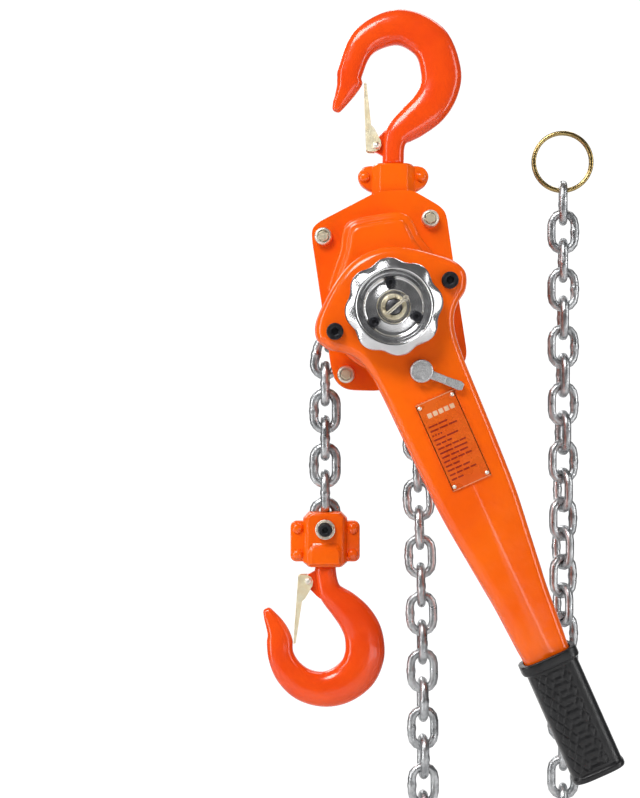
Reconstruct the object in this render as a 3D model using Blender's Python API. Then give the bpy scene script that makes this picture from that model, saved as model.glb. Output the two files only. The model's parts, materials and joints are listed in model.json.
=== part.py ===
"""Lever chain hoist, 1.5 t class, hanging by its top hook.

Lengths are in millimetres and become metres where a mesh is made. +Z is up, +X is to the right and
the handwheel faces -Y. The origin is the saddle of the top hook, where the hoist hangs. The housing
hangs a little askew under its top pin, and the lever is swung out from it.
"""

from math import atan2, cos, degrees, hypot, pi, radians, sin, tan

import bmesh
import bpy
from mathutils import Matrix, Vector

MM = 0.001
GAP = 0.3

# load chain: short link of calibrated 8 x 24 chain
WIRE = 8.0
LINK_PITCH = 24.0
LINK_WIDTH = 27.2
LINK_ARC = (LINK_WIDTH - WIRE) / 2
LINK_REACH = (LINK_PITCH + WIRE) / 2
HELD_REACH = LINK_REACH - WIRE - 2 * GAP
STRAND_X = -58.5

# housing, hung from the top pin
HOUSING_TILT = 9.4
TOP_PIN = (0.0, -138.6)
PIN_IN_HOUSING = (18.0, 90.0)
PIN_RADIUS = 6.0
PLATE_INNER = 16.0
PLATE_OUTER = 20.0
STAY_X = 46.0
STAY_TOP = 71.7
STAY_BOTTOM = -47.0
COVER_SKIN = 2.5
BRAKE_COVER_FACE = 44.0
GEAR_COVER_FACE = 43.0

# lever
LEVER_TILT = 24.0
LEVER_BACK = -46.0
LEVER_SPLIT = -60.0
LEVER_FACE = -74.0
LEVER_SKIN = 2.4
LEVER_BOLT = (51.5, 1.5)
SELECTOR_DROP = 57.0
SELECTOR_TURN = 45.0
GRIP_TOP = -313.0
GRIP_END = -420.0

# drive train
SHAFT_RADIUS = 8.0
GEAR_MODULE = 1.95
PINION_TEETH = 7
GEAR_TEETH = 21
GEAR_DISTANCE = GEAR_MODULE * (PINION_TEETH + GEAR_TEETH) / 2 + 0.1
WRAP_STEP = radians(36.0)
FIRST_WRAP_ANGLE = radians(136.0)
POCKET_HALF = radians(32.5)
POCKET_RADIUS = 36.2
TOOTH_REACH = 1.1
STRAND_LEANS = (0.0, 0.0, 0.0, 0.0, 0.0, 0.0, -12.0, -23.0)

# bottom block and hooks
BLOCK_X = STRAND_X
LAST_LINK_Z = -409.0
ANCHOR_Z = LAST_LINK_Z - 7.6
BLOCK_TOP = -401.7
BLOCK_BOTTOM = -449.2
BOTTOM_SADDLE_Z = -541.0
TOP_YOKE_TOP = -103.4
NECK_RADIUS = 6.5
HEAD_RADIUS = 10.0
NECK_DEPTH = 11.0
HEAD_DEPTH = 17.0
HOOK_CLEARANCE = 1.7
LATCH_PIVOT = (-14.5, -87.5)
LATCH_PIN_RADIUS = 1.6
BOTTOM_LATCH_RISE = 8.0
ANCHOR_BOLT_RADIUS = 4.0

ORANGE = ((0.90, 0.16, 0.02), 0.25, 0.0)
STEEL = ((0.62, 0.63, 0.64), 0.30, 1.0)
DARK_STEEL = ((0.20, 0.20, 0.21), 0.40, 1.0)
CAST_ALLOY = ((0.55, 0.56, 0.57), 0.40, 1.0)
YELLOW_ZINC = ((0.72, 0.62, 0.32), 0.30, 1.0)
BLACK_OXIDE = ((0.03, 0.03, 0.035), 0.40, 0.6)
RUBBER = ((0.03, 0.03, 0.03), 0.60, 0.0)
LINING = ((0.25, 0.16, 0.10), 0.80, 0.0)
PLATE_FOIL = ((0.85, 0.22, 0.06), 0.30, 0.2)


# ---------------------------------------------------------------- mesh helpers


def clear_scene():
    for old in list(bpy.data.objects):
        bpy.data.objects.remove(old)


def empty(name, at, turn=0.0, parent=None):
    """An empty at (x, z), turned anticlockwise by turn degrees as seen from the front."""
    made = bpy.data.objects.new(name, None)
    made.location = (at[0] * MM, 0, at[1] * MM)
    made.rotation_euler = (0, -radians(turn), 0)
    made.parent = parent
    bpy.context.scene.collection.objects.link(made)
    return made


def material(name, finish):
    colour, roughness, metallic = finish
    made = bpy.data.materials.new(name)
    made.use_nodes = True
    shader = made.node_tree.nodes["Principled BSDF"]
    shader.inputs["Base Color"].default_value = (*colour, 1)
    shader.inputs["Roughness"].default_value = roughness
    shader.inputs["Metallic"].default_value = metallic
    return made


def add(name, bm, finish, parent=None, at=(0, 0, 0), matrix=None):
    """Turns a bmesh in millimetres into an object in metres."""
    if matrix is not None:
        bm.transform(matrix)
    bmesh.ops.scale(bm, vec=(MM, MM, MM), verts=bm.verts)
    bmesh.ops.recalc_face_normals(bm, faces=bm.faces)
    mesh = bpy.data.meshes.new(name)
    bm.to_mesh(mesh)
    bm.free()
    mesh.shade_smooth()
    mesh.set_sharp_from_angle(angle=radians(35))
    made = bpy.data.objects.new(name, mesh)
    made.location = Vector(at) * MM
    made.parent = parent
    if finish:
        mesh.materials.append(material(name + "_finish", finish))
    bpy.context.scene.collection.objects.link(made)
    return made


def combine(target, operation, name, bm, parent, matrix):
    tool = add(name, bm, None, parent, matrix=matrix)
    tool.hide_render = True
    tool.display_type = "WIRE"
    modifier = target.modifiers.new(name, "BOOLEAN")
    modifier.operation = operation
    modifier.object = tool


def cut(target, name, bm, parent=None, matrix=None):
    """Cuts a shape out of target with a Boolean modifier."""
    combine(target, "DIFFERENCE", name, bm, parent, matrix)


def join(target, name, bm, parent=None, matrix=None):
    """Joins a shape to target with a Boolean modifier."""
    combine(target, "UNION", name, bm, parent, matrix)


def loft(rings, closed=False):
    """Skins rings of equal point count. An open loft gets a face over each end."""
    bm = bmesh.new()
    made = [[bm.verts.new(point) for point in ring] for ring in rings]
    pairs = list(zip(made, made[1:]))
    if closed:
        pairs.append((made[-1], made[0]))
    else:
        bm.faces.new(made[0])
        bm.faces.new(made[-1])
    for one, other in pairs:
        for n in range(len(one)):
            m = (n + 1) % len(one)
            bm.faces.new((one[n], one[m], other[m], other[n]))
    return bm


def flat_ring(outline, y):
    return [(x, y, z) for x, z in outline]


def circle(radius, count, centre=(0.0, 0.0), start=0.0):
    steps = [start + 2 * pi * n / count for n in range(count)]
    return [(centre[0] + radius * cos(a), centre[1] + radius * sin(a)) for a in steps]


def prism(outline, y0, y1):
    return loft([flat_ring(outline, y0), flat_ring(outline, y1)])


def turned(profile, count=24, closed=False):
    """Turns a profile of (radius, y) about the Y axis."""
    return loft([flat_ring(circle(r, count), y) for r, y in profile], closed)


def inset(outline, depth):
    """Moves each side of an anticlockwise outline inwards by depth."""
    moved = []
    count = len(outline)
    for n in range(count):
        before = Vector(outline[n - 1])
        here = Vector(outline[n])
        after = Vector(outline[(n + 1) % count])
        one = (here - before).normalized()
        two = (after - here).normalized()
        normal = Vector((-one.y - two.y, one.x + two.x)).normalized()
        lean = max(0.5, normal.dot(Vector((-one.y, one.x))))
        moved.append(tuple(here + normal * depth / lean))
    return moved


def catmull_rom(p0, p1, p2, p3, t):
    return 0.5 * (
        2 * p1
        + (p2 - p0) * t
        + (2 * p0 - 5 * p1 + 4 * p2 - p3) * t**2
        + (3 * p1 - p0 - 3 * p2 + p3) * t**3
    )


def smooth_line(points, steps):
    """An open Catmull-Rom curve through the points, ends included."""
    points = [Vector(p) for p in points]
    ends = [2 * points[0] - points[1], *points, 2 * points[-1] - points[-2]]
    made = []
    for n in range(len(points) - 1):
        made += [catmull_rom(*ends[n : n + 4], s / steps) for s in range(steps)]
    return [*made, points[-1]]


def tray(outline, rim_y, face_y, skin, shoulder):
    """A pressed tray, open at rim_y, with a rounded shoulder before its face at face_y."""
    way = 1 if face_y > rim_y else -1
    low = face_y - way * shoulder
    rings = [
        (inset(outline, shoulder), face_y),
        (inset(outline, shoulder * 0.3), face_y - way * shoulder * 0.3),
        (outline, low),
        (outline, rim_y),
        (inset(outline, skin), rim_y),
        (inset(outline, skin), low),
        (inset(outline, skin + shoulder * 0.8), face_y - way * skin),
    ]
    return loft([flat_ring(points, y) for points, y in rings])


def toothed(teeth, root, tip, phase=0.0, repeat=1, foot=0.27, crest=0.1):
    """A round outline with straight-sided teeth. foot and crest are half widths in tooth pitches."""
    pitch = 2 * pi / teeth
    corners = []
    for n in range(teeth):
        middle = phase + n * pitch
        for radius, share in ((root, -foot), (tip, -crest), (tip, crest), (root, foot)):
            angle = middle + share * pitch
            corners.append(Vector((radius * cos(angle), radius * sin(angle))))
    made = []
    for one, other in zip(corners, corners[1:] + corners[:1]):
        made += [tuple(one.lerp(other, k / repeat)) for k in range(repeat)]
    return made


def gear_outline(teeth, module, phase=0.0, repeat=1):
    """Teeth narrow enough to leave backlash, with repeat points along each of their sides."""
    return toothed(teeth, module * (teeth / 2 - 1.25), module * (teeth / 2 + 0.75), phase, repeat)


# ---------------------------------------------------------------- chain


def link_mesh(sides=8, arc_steps=6):
    """One link standing along Z in the XZ plane, about its own centre."""
    reach = LINK_REACH - LINK_ARC
    rings = []
    for n in range(2 * arc_steps + 2):
        half, step = divmod(n, arc_steps + 1)
        angle = pi * step / arc_steps + half * pi
        centre = Vector((LINK_ARC * cos(angle), 0, LINK_ARC * sin(angle)))
        centre.z += reach if half == 0 else -reach
        outwards = Vector((cos(angle), 0, sin(angle)))
        ring = []
        for k in range(sides):
            turn = 2 * pi * (k + 0.5) / sides
            ring.append(centre + WIRE / 2 * (outwards * cos(turn) + Vector((0, sin(turn), 0))))
        rings.append(ring)
    return loft(rings, closed=True)


def chain_link(name, at, lean, edge_on, parent=None):
    """A link centred at (x, z), leaning anticlockwise by lean degrees. edge_on turns its flat side."""
    turn = Matrix.Rotation(-radians(lean), 4, "Y")
    if edge_on:
        turn = turn @ Matrix.Rotation(radians(90), 4, "Z")
    add(name, link_mesh(), STEEL, parent, (at[0], 0, at[1]), turn)


def load_strand():
    """The links from the bottom block up to the sheave. The two highest ones lean towards it.

    A flat link reaches to the middle of its own end wires, and the upright links hold on to those.
    """
    at = Vector((STRAND_X, LAST_LINK_Z - HELD_REACH))
    for number, lean in zip(range(8, 0, -1), STRAND_LEANS):
        flat = number % 2 == 1
        reach = LINK_REACH if flat else HELD_REACH
        way = Vector((-sin(radians(lean)), cos(radians(lean))))
        chain_link(f"load_link_{number}", at + way * reach, lean, flat)
        at += way * reach * 2


def sheave_links(drive):
    """The links that lie over the sheave: flat ones in its pockets, upright ones in its slot."""
    flat_half = atan2(sin(WRAP_STEP), HELD_REACH / LINK_REACH + cos(WRAP_STEP))
    flat_radius = LINK_REACH / tan(flat_half)
    upright_radius = HELD_REACH / tan(WRAP_STEP - flat_half)
    for n in range(5):
        angle = FIRST_WRAP_ANGLE - n * WRAP_STEP
        radius = upright_radius if n % 2 else flat_radius
        place = Vector(drive) + radius * Vector((cos(angle), sin(angle)))
        chain_link(f"sheave_link_{n + 1}", place, degrees(angle), n % 2 == 0)


def slack_route(drive):
    """The free strand: out of the sheave, down, round in a loop and up to the ring, as (x, z)."""
    return [
        (drive[0] + 37.0, drive[1] - 36.5),
        (27.5, -300.0),
        (21.5, -350.0),
        (23.0, -420.0),
        (25.0, -510.0),
        (26.0, -610.0),
        (27.0, -700.0),
        (33.0, -760.0),
        (52.0, -803.0),
        (86.0, -822.0),
        (120.0, -803.0),
        (139.5, -760.0),
        (145.5, -700.0),
        (146.5, -610.0),
        (146.5, -510.0),
        (146.5, -400.0),
        (146.5, -290.0),
        (146.5, -200.0),
        (146.5, -129.5),
    ]


def slack_chain(drive):
    """A plain tube of the chain's own mass stands for the free strand's links."""
    points = smooth_line([(x, 0, z) for x, z in slack_route(drive)], 3)
    curve = bpy.data.curves.new("slack_chain", "CURVE")
    curve.dimensions = "3D"
    curve.bevel_depth = 7.5 * MM
    curve.bevel_resolution = 2
    curve.use_fill_caps = True
    spline = curve.splines.new("POLY")
    spline.points.add(len(points) - 1)
    for place, point in zip(spline.points, points):
        place.co = (*(point * MM), 1)
    curve.materials.append(material("slack_chain_finish", STEEL))
    tube = bpy.data.objects.new("slack_chain", curve)
    bpy.context.scene.collection.objects.link(tube)


def end_ring():
    """The split ring on the chain's free end, wound twice, as one turned ring."""
    wire = 1.9
    radius = 26.7 - wire
    section = [(radius + wire * cos(a), 1.8 * wire * sin(a)) for a in
               (2 * pi * n / 8 for n in range(8))]
    add("end_ring", turned(section, 32, closed=True), YELLOW_ZINC, at=(146.0, 0, -100.9))


# ---------------------------------------------------------------- hooks


def top_hook_stations(shank_end):
    """Centre x and z, half width and half thickness along the forging, from shank to tip."""
    return [
        (0.0, shank_end, 9.3, 9.3),
        (0.9, -84.6, 9.8, 9.4),
        (6.0, -75.4, 12.2, 9.6),
        (16.4, -66.9, 14.5, 10.2),
        (30.0, -55.0, 16.3, 10.8),
        (39.1, -40.0, 17.0, 11.2),
        (41.2, -22.6, 17.4, 11.4),
        (31.2, 2.8, 16.8, 11.4),
        (4.0, 15.0, 15.4, 11.0),
        (-25.2, 2.2, 12.7, 10.0),
        (-36.8, -23.0, 11.0, 9.4),
        (-37.3, -31.5, 11.2, 9.0),
        (-39.8, -38.0, 9.4, 8.0),
        (-43.2, -45.0, 7.4, 6.6),
        (-46.6, -51.6, 5.2, 5.0),
        (-48.0, -54.8, 3.8, 3.8),
    ]


def bottom_hook_stations(shank_end):
    """The same for the bottom hook, whose bowl is rounder and sits nearer its shank."""
    return [
        (0.0, shank_end, 9.3, 9.3),
        (1.4, -80.0, 9.2, 9.3),
        (3.6, -71.5, 10.0, 9.5),
        (7.9, -65.6, 11.2, 9.8),
        (15.5, -58.8, 13.2, 10.2),
        (24.6, -49.0, 15.0, 10.8),
        (31.4, -37.6, 16.2, 11.2),
        (34.2, -25.0, 16.9, 11.4),
        (33.5, -13.0, 17.2, 11.5),
        (27.2, 0.4, 17.0, 11.4),
        (13.2, 10.8, 16.2, 11.2),
        (-2.7, 14.1, 15.0, 11.0),
        (-19.2, 9.7, 14.0, 10.6),
        (-31.6, -1.2, 12.6, 10.0),
        (-38.6, -14.6, 11.3, 9.4),
        (-40.4, -27.0, 11.2, 9.0),
        (-41.2, -35.0, 9.4, 8.2),
        (-44.2, -42.6, 7.6, 6.8),
        (-47.6, -49.0, 5.4, 5.2),
        (-49.4, -52.6, 3.6, 3.6),
    ]


def hook_body(shank_end, stations, sides=14, steps=2):
    """The forging: oval sections along its bent centre line, then the swivel neck and head."""
    line = smooth_line(stations, steps)
    rings = []
    for radius, z in ((HEAD_RADIUS, shank_end - HEAD_DEPTH), (HEAD_RADIUS, shank_end - NECK_DEPTH),
                      (NECK_RADIUS, shank_end - NECK_DEPTH), (NECK_RADIUS, shank_end - 1.5)):
        rings.append(section((0.0, z), (0.0, 1.0), radius, radius, sides))
    for n, station in enumerate(line):
        before = line[max(n - 1, 0)]
        after = line[min(n + 1, len(line) - 1)]
        way = Vector((after[0] - before[0], after[1] - before[1])).normalized()
        rings.append(section(station[:2], way, station[2], station[3], sides))
    return loft(rings)


def section(centre, way, half_width, half_thickness, sides):
    """An oval across the direction way, which lies in the XZ plane."""
    across = Vector((way[1], 0, -way[0]))
    middle = Vector((centre[0], 0, centre[1]))
    ring = []
    for k in range(sides):
        turn = 2 * pi * k / sides
        ring.append(middle + across * half_width * cos(turn)
                    + Vector((0, half_thickness * sin(turn), 0)))
    return ring


def shifted(outline, rise):
    return [(x, z + rise) for x, z in outline]


def hook(name, parent, shank_end, stations, rise, turn=None):
    """The hook with its latch lug, rise mm nearer the bowl. turn hangs it the other way up."""
    made = add(name, hook_body(shank_end, stations), ORANGE, parent, matrix=turn)
    lug = [(-4.0, -74.0), (-17.0, -83.0), (-19.0, -89.0), (-14.0, -93.5), (-4.0, -97.5)]
    join(made, name + "_lug", prism(shifted(lug, rise), -3.0, 3.0), parent, turn)
    hole = circle(LATCH_PIN_RADIUS + GAP, 12, (LATCH_PIVOT[0], LATCH_PIVOT[1] + rise))
    cut(made, name + "_pin_hole", prism(hole, -4.0, 4.0), parent, turn)


def latch(name, parent, rise, turn=None):
    """A pressed latch: a blade up to the tip of the hook, two ears about the lug, and their pin."""
    blade = [(-25.0, -34.0), (-22.5, -91.5), (-20.0, -91.5), (-20.4, -80.0), (-22.4, -34.0)]
    ear = [(-20.9, -72.0), (-9.8, -84.5), (-9.8, -90.0), (-14.0, -93.0), (-20.9, -91.0)]
    pin = circle(LATCH_PIN_RADIUS, 12, LATCH_PIVOT)
    made = add(name, prism(shifted(blade, rise), -6.0, 6.0), YELLOW_ZINC, parent, matrix=turn)
    join(made, name + "_rear_ear", prism(shifted(ear, rise), 3.6, 5.2), parent, turn)
    join(made, name + "_front_ear", prism(shifted(ear, rise), -5.2, -3.6), parent, turn)
    join(made, name + "_pin", prism(shifted(pin, rise), -5.9, 5.9), parent, turn)


def swivel_cavity(end, shoulder, mouth):
    """A cutter for a hook's neck and head, from the mouth past the shoulder to the end, in z."""
    neck = NECK_RADIUS + 0.6
    head = HEAD_RADIUS + 0.6
    rings = [
        [(x, z, mouth) for x, z in circle(neck, 20)],
        [(x, z, shoulder) for x, z in circle(neck, 20)],
        [(x, z, shoulder) for x, z in circle(head, 20)],
        [(x, z, end) for x, z in circle(head, 20)],
    ]
    return loft(rings)


def yoke_half(name, parent, way, box, ears, foot, depth=14.0):
    """One pressed half: a deep box with thin ears and a foot, on the side of way (-1 or 1)."""
    made = add(name, prism(box, way * GAP / 2, way * depth), ORANGE, parent)
    join(made, name + "_ears", prism(ears, way * GAP / 2, way * 6.0), parent)
    join(made, name + "_foot", prism(foot, way * GAP / 2, way * (depth - 3.0)), parent)
    return made


def rounded_box(x0, x1, z0, z1, radius, steps=3):
    """An anticlockwise rectangle with round corners."""
    made = []
    corners = ((x1, z1, 0), (x0, z1, 1), (x0, z0, 2), (x1, z0, 3))
    for x, z, quarter in corners:
        cx = x - radius if quarter in (0, 3) else x + radius
        cz = z - radius if quarter in (0, 1) else z + radius
        for k in range(steps + 1):
            angle = pi / 2 * (quarter + k / steps)
            made.append((cx + radius * cos(angle), cz + radius * sin(angle)))
    return made


def top_yoke(parent):
    """The two halves that hold the hook's head and turn on the top pin."""
    top = TOP_YOKE_TOP - TOP_PIN[1]
    box = rounded_box(-13.5, 13.5, -2.0, top, 3.0)
    half = [(20.0, 11.5), (27.5, 16.5), (30.3, 22.0), (30.3, 27.0), (26.5, 32.2), (21.0, top - 1.5)]
    ears = half + [(-x, z) for x, z in reversed(half)]
    foot = rounded_box(-11.5, 11.5, -12.0, 5.0, 8.0)
    neck_face = top + HOOK_CLEARANCE - NECK_DEPTH
    head_end = top + HOOK_CLEARANCE - HEAD_DEPTH
    for name, way in (("top_yoke_front", -1), ("top_yoke_rear", 1)):
        made = yoke_half(name, parent, way, box, ears, foot)
        cavity = swivel_cavity(head_end - 0.8, neck_face + 0.5, top + 2.0)
        cut(made, name + "_swivel", cavity, parent)
        hole = prism(circle(PIN_RADIUS + GAP, 20), -20, 20)
        cut(made, name + "_pin_hole", hole, parent)


def bottom_yoke(parent):
    """The block halves round the last link, its anchor bolt and the bottom hook's head."""
    top = BLOCK_TOP - ANCHOR_Z
    bottom = BLOCK_BOTTOM - ANCHOR_Z
    box = rounded_box(-18.0, 18.0, bottom, top, 4.0)
    ears = rounded_box(-29.8, 29.8, -28.2, 6.7, 5.0)
    foot = rounded_box(-14.0, 14.0, bottom, bottom + 10.0, 2.0)
    neck_face = bottom - HOOK_CLEARANCE + NECK_DEPTH
    head_end = bottom - HOOK_CLEARANCE + HEAD_DEPTH
    for name, way in (("bottom_yoke_front", -1), ("bottom_yoke_rear", 1)):
        made = yoke_half(name, parent, way, box, ears, foot)
        cavity = swivel_cavity(head_end + 0.8, neck_face - 0.5, bottom - 2.0)
        cut(made, name + "_swivel", cavity, parent)
        slot = prism(rounded_box(-16.0, 16.0, -13.5, top + 2, 4.0), -5.2, 5.2)
        cut(made, name + "_slot", slot, parent)
        mouth = prism(rounded_box(-6.5, 6.5, 8.0, top + 2, 1.0), -11.0, 11.0)
        cut(made, name + "_mouth", mouth, parent)
        hole = prism(circle(ANCHOR_BOLT_RADIUS + GAP, 16), -20, 20)
        cut(made, name + "_bolt_hole", hole, parent)


def chain_anchor_bolt(parent):
    """The bolt through the last link, with its head in front and its nut behind."""
    profile = [(7.0, -20.0), (7.0, -14.0 - GAP), (ANCHOR_BOLT_RADIUS, -14.0 - GAP),
               (ANCHOR_BOLT_RADIUS, 14.0 + GAP),
               (7.0, 14.0 + GAP), (7.0, 19.0)]
    add("chain_anchor_bolt", turned(profile, 16), DARK_STEEL, parent)


# ---------------------------------------------------------------- housing


def plate_outline():
    """The side plate's outline in the housing's frame, anticlockwise."""
    return [
        (59.0, -3.0), (60.5, 74.0), (56.5, 81.0), (39.0, 95.5), (33.0, 99.0), (9.0, 102.0),
        (2.0, 101.0), (-50.0, 84.0), (-55.5, 78.0), (-57.5, -44.0), (-54.0, -54.0),
        (-46.0, -60.5), (-20.0, -65.5), (46.0, -60.5), (55.0, -54.0), (58.5, -46.0),
    ]


def side_plate(name, parent, way):
    """A side plate with holes for the stays, the top pin and the shaft."""
    plate = prism(plate_outline(), way * PLATE_INNER, way * PLATE_OUTER)
    made = add(name, plate, ORANGE, parent)
    holes = [(x, z, 4.0) for x in (-STAY_X, STAY_X) for z in (STAY_BOTTOM, STAY_TOP)]
    holes += [(*PIN_IN_HOUSING, PIN_RADIUS), (0.0, 0.0, 15.3)]
    for n, (x, z, radius) in enumerate(holes):
        hole = prism(circle(radius + GAP, 20, (x, z)), way * 10, way * 26)
        cut(made, f"{name}_hole_{n}", hole, parent)


def stay_bolt(number, parent, x, z):
    """A spacer between the plates with a nut outside each of them, joined to its stud."""
    inner = PLATE_INNER - GAP
    outer = PLATE_OUTER + GAP
    profile = [(4.0, -outer - 8.5), (4.0, -outer - 7.0), (7.4, -outer - 6.5), (7.4, -outer),
               (4.0, -outer), (4.0, -inner), (5.0, -inner), (5.0, inner), (4.0, inner),
               (4.0, outer), (7.4, outer), (7.4, outer + 6.5), (4.0, outer + 7.0),
               (4.0, outer + 8.5)]
    add(f"stay_bolt_{number}", turned(profile, 12), YELLOW_ZINC, parent, (x, 0, z))


def top_pin(parent):
    at = (PIN_IN_HOUSING[0], 0, PIN_IN_HOUSING[1])
    profile = [(PIN_RADIUS, -PLATE_OUTER), (PIN_RADIUS, PLATE_OUTER)]
    add("top_pin", turned(profile, 20), DARK_STEEL, parent, at)


def brake_cover_outline():
    """A round cover that narrows at the waist and widens to a shoulder under the top yoke."""
    shoulder = [(50.0, 26.0), (42.0, 43.0), (34.5, 57.0), (31.5, 68.0), (29.5, 76.0),
                (24.0, 80.5), (0.0, 81.5)]
    left = [(-x, z) for x, z in reversed(shoulder[:-1])]
    start, end = radians(158), radians(382)
    arc = [(53.5 * cos(a), 53.5 * sin(a)) for a in
           (start + (end - start) * n / 18 for n in range(19))]
    return shoulder + left + arc


def brake_cover(parent):
    """The pressed front cover over the brake, open in the middle for the drive."""
    shell = tray(brake_cover_outline(), -PLATE_OUTER - GAP, -BRAKE_COVER_FACE, COVER_SKIN, 6.0)
    made = add("brake_cover", shell, ORANGE, parent)
    cut(made, "brake_cover_hole", prism(circle(17.0, 24), -50, -38), parent)


def gear_cover(parent):
    """The pressed rear cover over the gears."""
    shell = tray(circle(54.0, 40), PLATE_OUTER + GAP, GEAR_COVER_FACE, COVER_SKIN, 7.0)
    add("gear_cover", shell, ORANGE, parent)


def chain_guide(parent):
    """The guide under the sheave that keeps the two strands apart."""
    arc = [(45.0 * cos(a), 45.0 * sin(a)) for a in (radians(246 + 5 * n) for n in range(9))]
    foot = [(11.0, -57.0), (5.0, -61.0), (-12.0, -61.0), (-20.0, -57.0)]
    add("chain_guide", prism(arc + foot, -14.5, 14.5), DARK_STEEL, parent)


# ---------------------------------------------------------------- drive train


def sheave_outline():
    """Five flat pockets with a tooth between each pair."""
    made = []
    for n in range(5):
        middle = FIRST_WRAP_ANGLE - radians(HOUSING_TILT) + 2 * WRAP_STEP * n
        one = Vector((cos(middle - POCKET_HALF), sin(middle - POCKET_HALF))) * POCKET_RADIUS
        two = Vector((cos(middle + POCKET_HALF), sin(middle + POCKET_HALF))) * POCKET_RADIUS
        made.append(tuple(one * TOOTH_REACH))
        made += [tuple(one.lerp(two, k / 3)) for k in range(4)]
        made.append(tuple(two * TOOTH_REACH))
    return made


def load_sheave(parent):
    """Two pocketed cheeks with a slot between them for the upright links, bored for the shaft."""
    cheek = sheave_outline()
    slot = resample_circle(22.4, cheek)
    bore = resample_circle(SHAFT_RADIUS + 1.0, cheek)
    rings = [(cheek, -13.0), (cheek, -4.8), (slot, -4.8), (slot, 4.8), (cheek, 4.8),
             (cheek, 13.0), (bore, 13.0), (bore, -13.0)]
    mesh = loft([flat_ring(points, y) for points, y in rings], closed=True)
    add("load_sheave", mesh, DARK_STEEL, parent)


def resample_circle(radius, outline):
    """A circle with one point in the direction of each point of the outline."""
    return [(radius * x / hypot(x, z), radius * z / hypot(x, z)) for x, z in outline]


def load_gear(parent):
    """The gear behind the rear plate, whose boss passes through it to the sheave."""
    half_tooth = pi / GEAR_TEETH
    teeth = gear_outline(GEAR_TEETH, GEAR_MODULE, half_tooth)
    boss = resample_circle(14.8, teeth)
    bore = resample_circle(SHAFT_RADIUS + 1.0, teeth)
    rings = [(boss, 13.4), (boss, 21.0), (teeth, 21.0), (teeth, 27.0), (bore, 27.0), (bore, 13.4)]
    mesh = loft([flat_ring(points, y) for points, y in rings], closed=True)
    add("load_gear", mesh, STEEL, parent)


def intermediate_gear(number, parent, side):
    """A wide gear driven by the shaft, with the small pinion that drives the load gear."""
    half_tooth = pi / GEAR_TEETH
    towards = 0.0 if side < 0 else pi
    gear_phase = towards + (half_tooth if side > 0 else 0.0)
    pinion_phase = towards + (0.0 if side > 0 else pi / PINION_TEETH)
    teeth = gear_outline(GEAR_TEETH, GEAR_MODULE, gear_phase)
    pinion = gear_outline(PINION_TEETH, GEAR_MODULE, pinion_phase, repeat=3)
    shift = round((towards - pinion_phase) / (2 * pi) * len(pinion))
    pinion = pinion[shift:] + pinion[:shift]
    rings = [(pinion, 21.0), (pinion, 28.0), (teeth, 28.4), (teeth, 34.0)]
    mesh = loft([flat_ring(points, y) for points, y in rings])
    add(f"intermediate_gear_{number}", mesh, STEEL, parent)


def drive_shaft(parent):
    """The shaft through the sheave, with its pinion at the rear and its thread in front."""
    pinion = gear_outline(PINION_TEETH, GEAR_MODULE)
    shaft = resample_circle(SHAFT_RADIUS - 0.6, pinion)
    thread = resample_circle(5.8, pinion)
    rings = [(thread, -90.0), (thread, -78.0), (shaft, -78.0), (shaft, 27.6),
             (pinion, 28.2), (pinion, 35.0)]
    mesh = loft([flat_ring(points, y) for points, y in rings])
    add("drive_shaft", mesh, STEEL, parent)


def brake_stack(parent):
    """The friction hub, the two linings and the ratchet disc between them."""
    bore = SHAFT_RADIUS + GAP
    hub = [(bore, -21.0), (12.0, -21.0), (12.0, -24.0), (27.0, -24.0), (27.0, -27.0),
           (12.0, -27.0), (12.0, -37.6), (bore, -37.6)]
    add("friction_hub", turned(hub, 24, closed=True), STEEL, parent)
    for number, y in ((1, -27.3), (2, -35.9)):
        ring = [(12.6, y), (26.0, y), (26.0, y - 2.0), (12.6, y - 2.0)]
        add(f"friction_disc_{number}", turned(ring, 24, closed=True), LINING, parent)
    teeth = []
    for n in range(15):
        for radius, turn in ((30.0, 0.0), (33.0, 21.0)):
            angle = radians(24 * n + turn)
            teeth.append((radius * cos(angle), radius * sin(angle)))
    inner = resample_circle(12.6, teeth)
    rings = [(teeth, -29.6), (teeth, -35.6), (inner, -35.6), (inner, -29.6)]
    mesh = loft([flat_ring(points, y) for points, y in rings], closed=True)
    add("ratchet_disc", mesh, STEEL, parent)


def change_gear(parent):
    """The gear that the lever's pawl drives, with the flange that presses the linings."""
    teeth = gear_outline(12, 3.6)
    bore = resample_circle(SHAFT_RADIUS + GAP, teeth)
    boss = resample_circle(14.5, teeth)
    flange = resample_circle(26.0, teeth)
    rings = [(flange, -38.2), (flange, -40.6), (boss, -40.6), (boss, -51.0), (teeth, -51.0),
             (teeth, -63.0), (boss, -63.0), (boss, -77.6), (bore, -77.6), (bore, -38.2)]
    mesh = loft([flat_ring(points, y) for points, y in rings], closed=True)
    add("change_gear", mesh, STEEL, parent)


def brake_pawl(number, parent):
    """A sprung pawl beside the ratchet disc. It pivots at its own origin."""
    boss = circle(4.5, 10, start=radians(-60))[:8]
    mesh = prism(boss + [(-13.5, 2.5), (-16.0, -3.4), (-12.0, -3.6)], -35.3, -29.9)
    add(f"brake_pawl_{number}", mesh, STEEL, parent)


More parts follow.
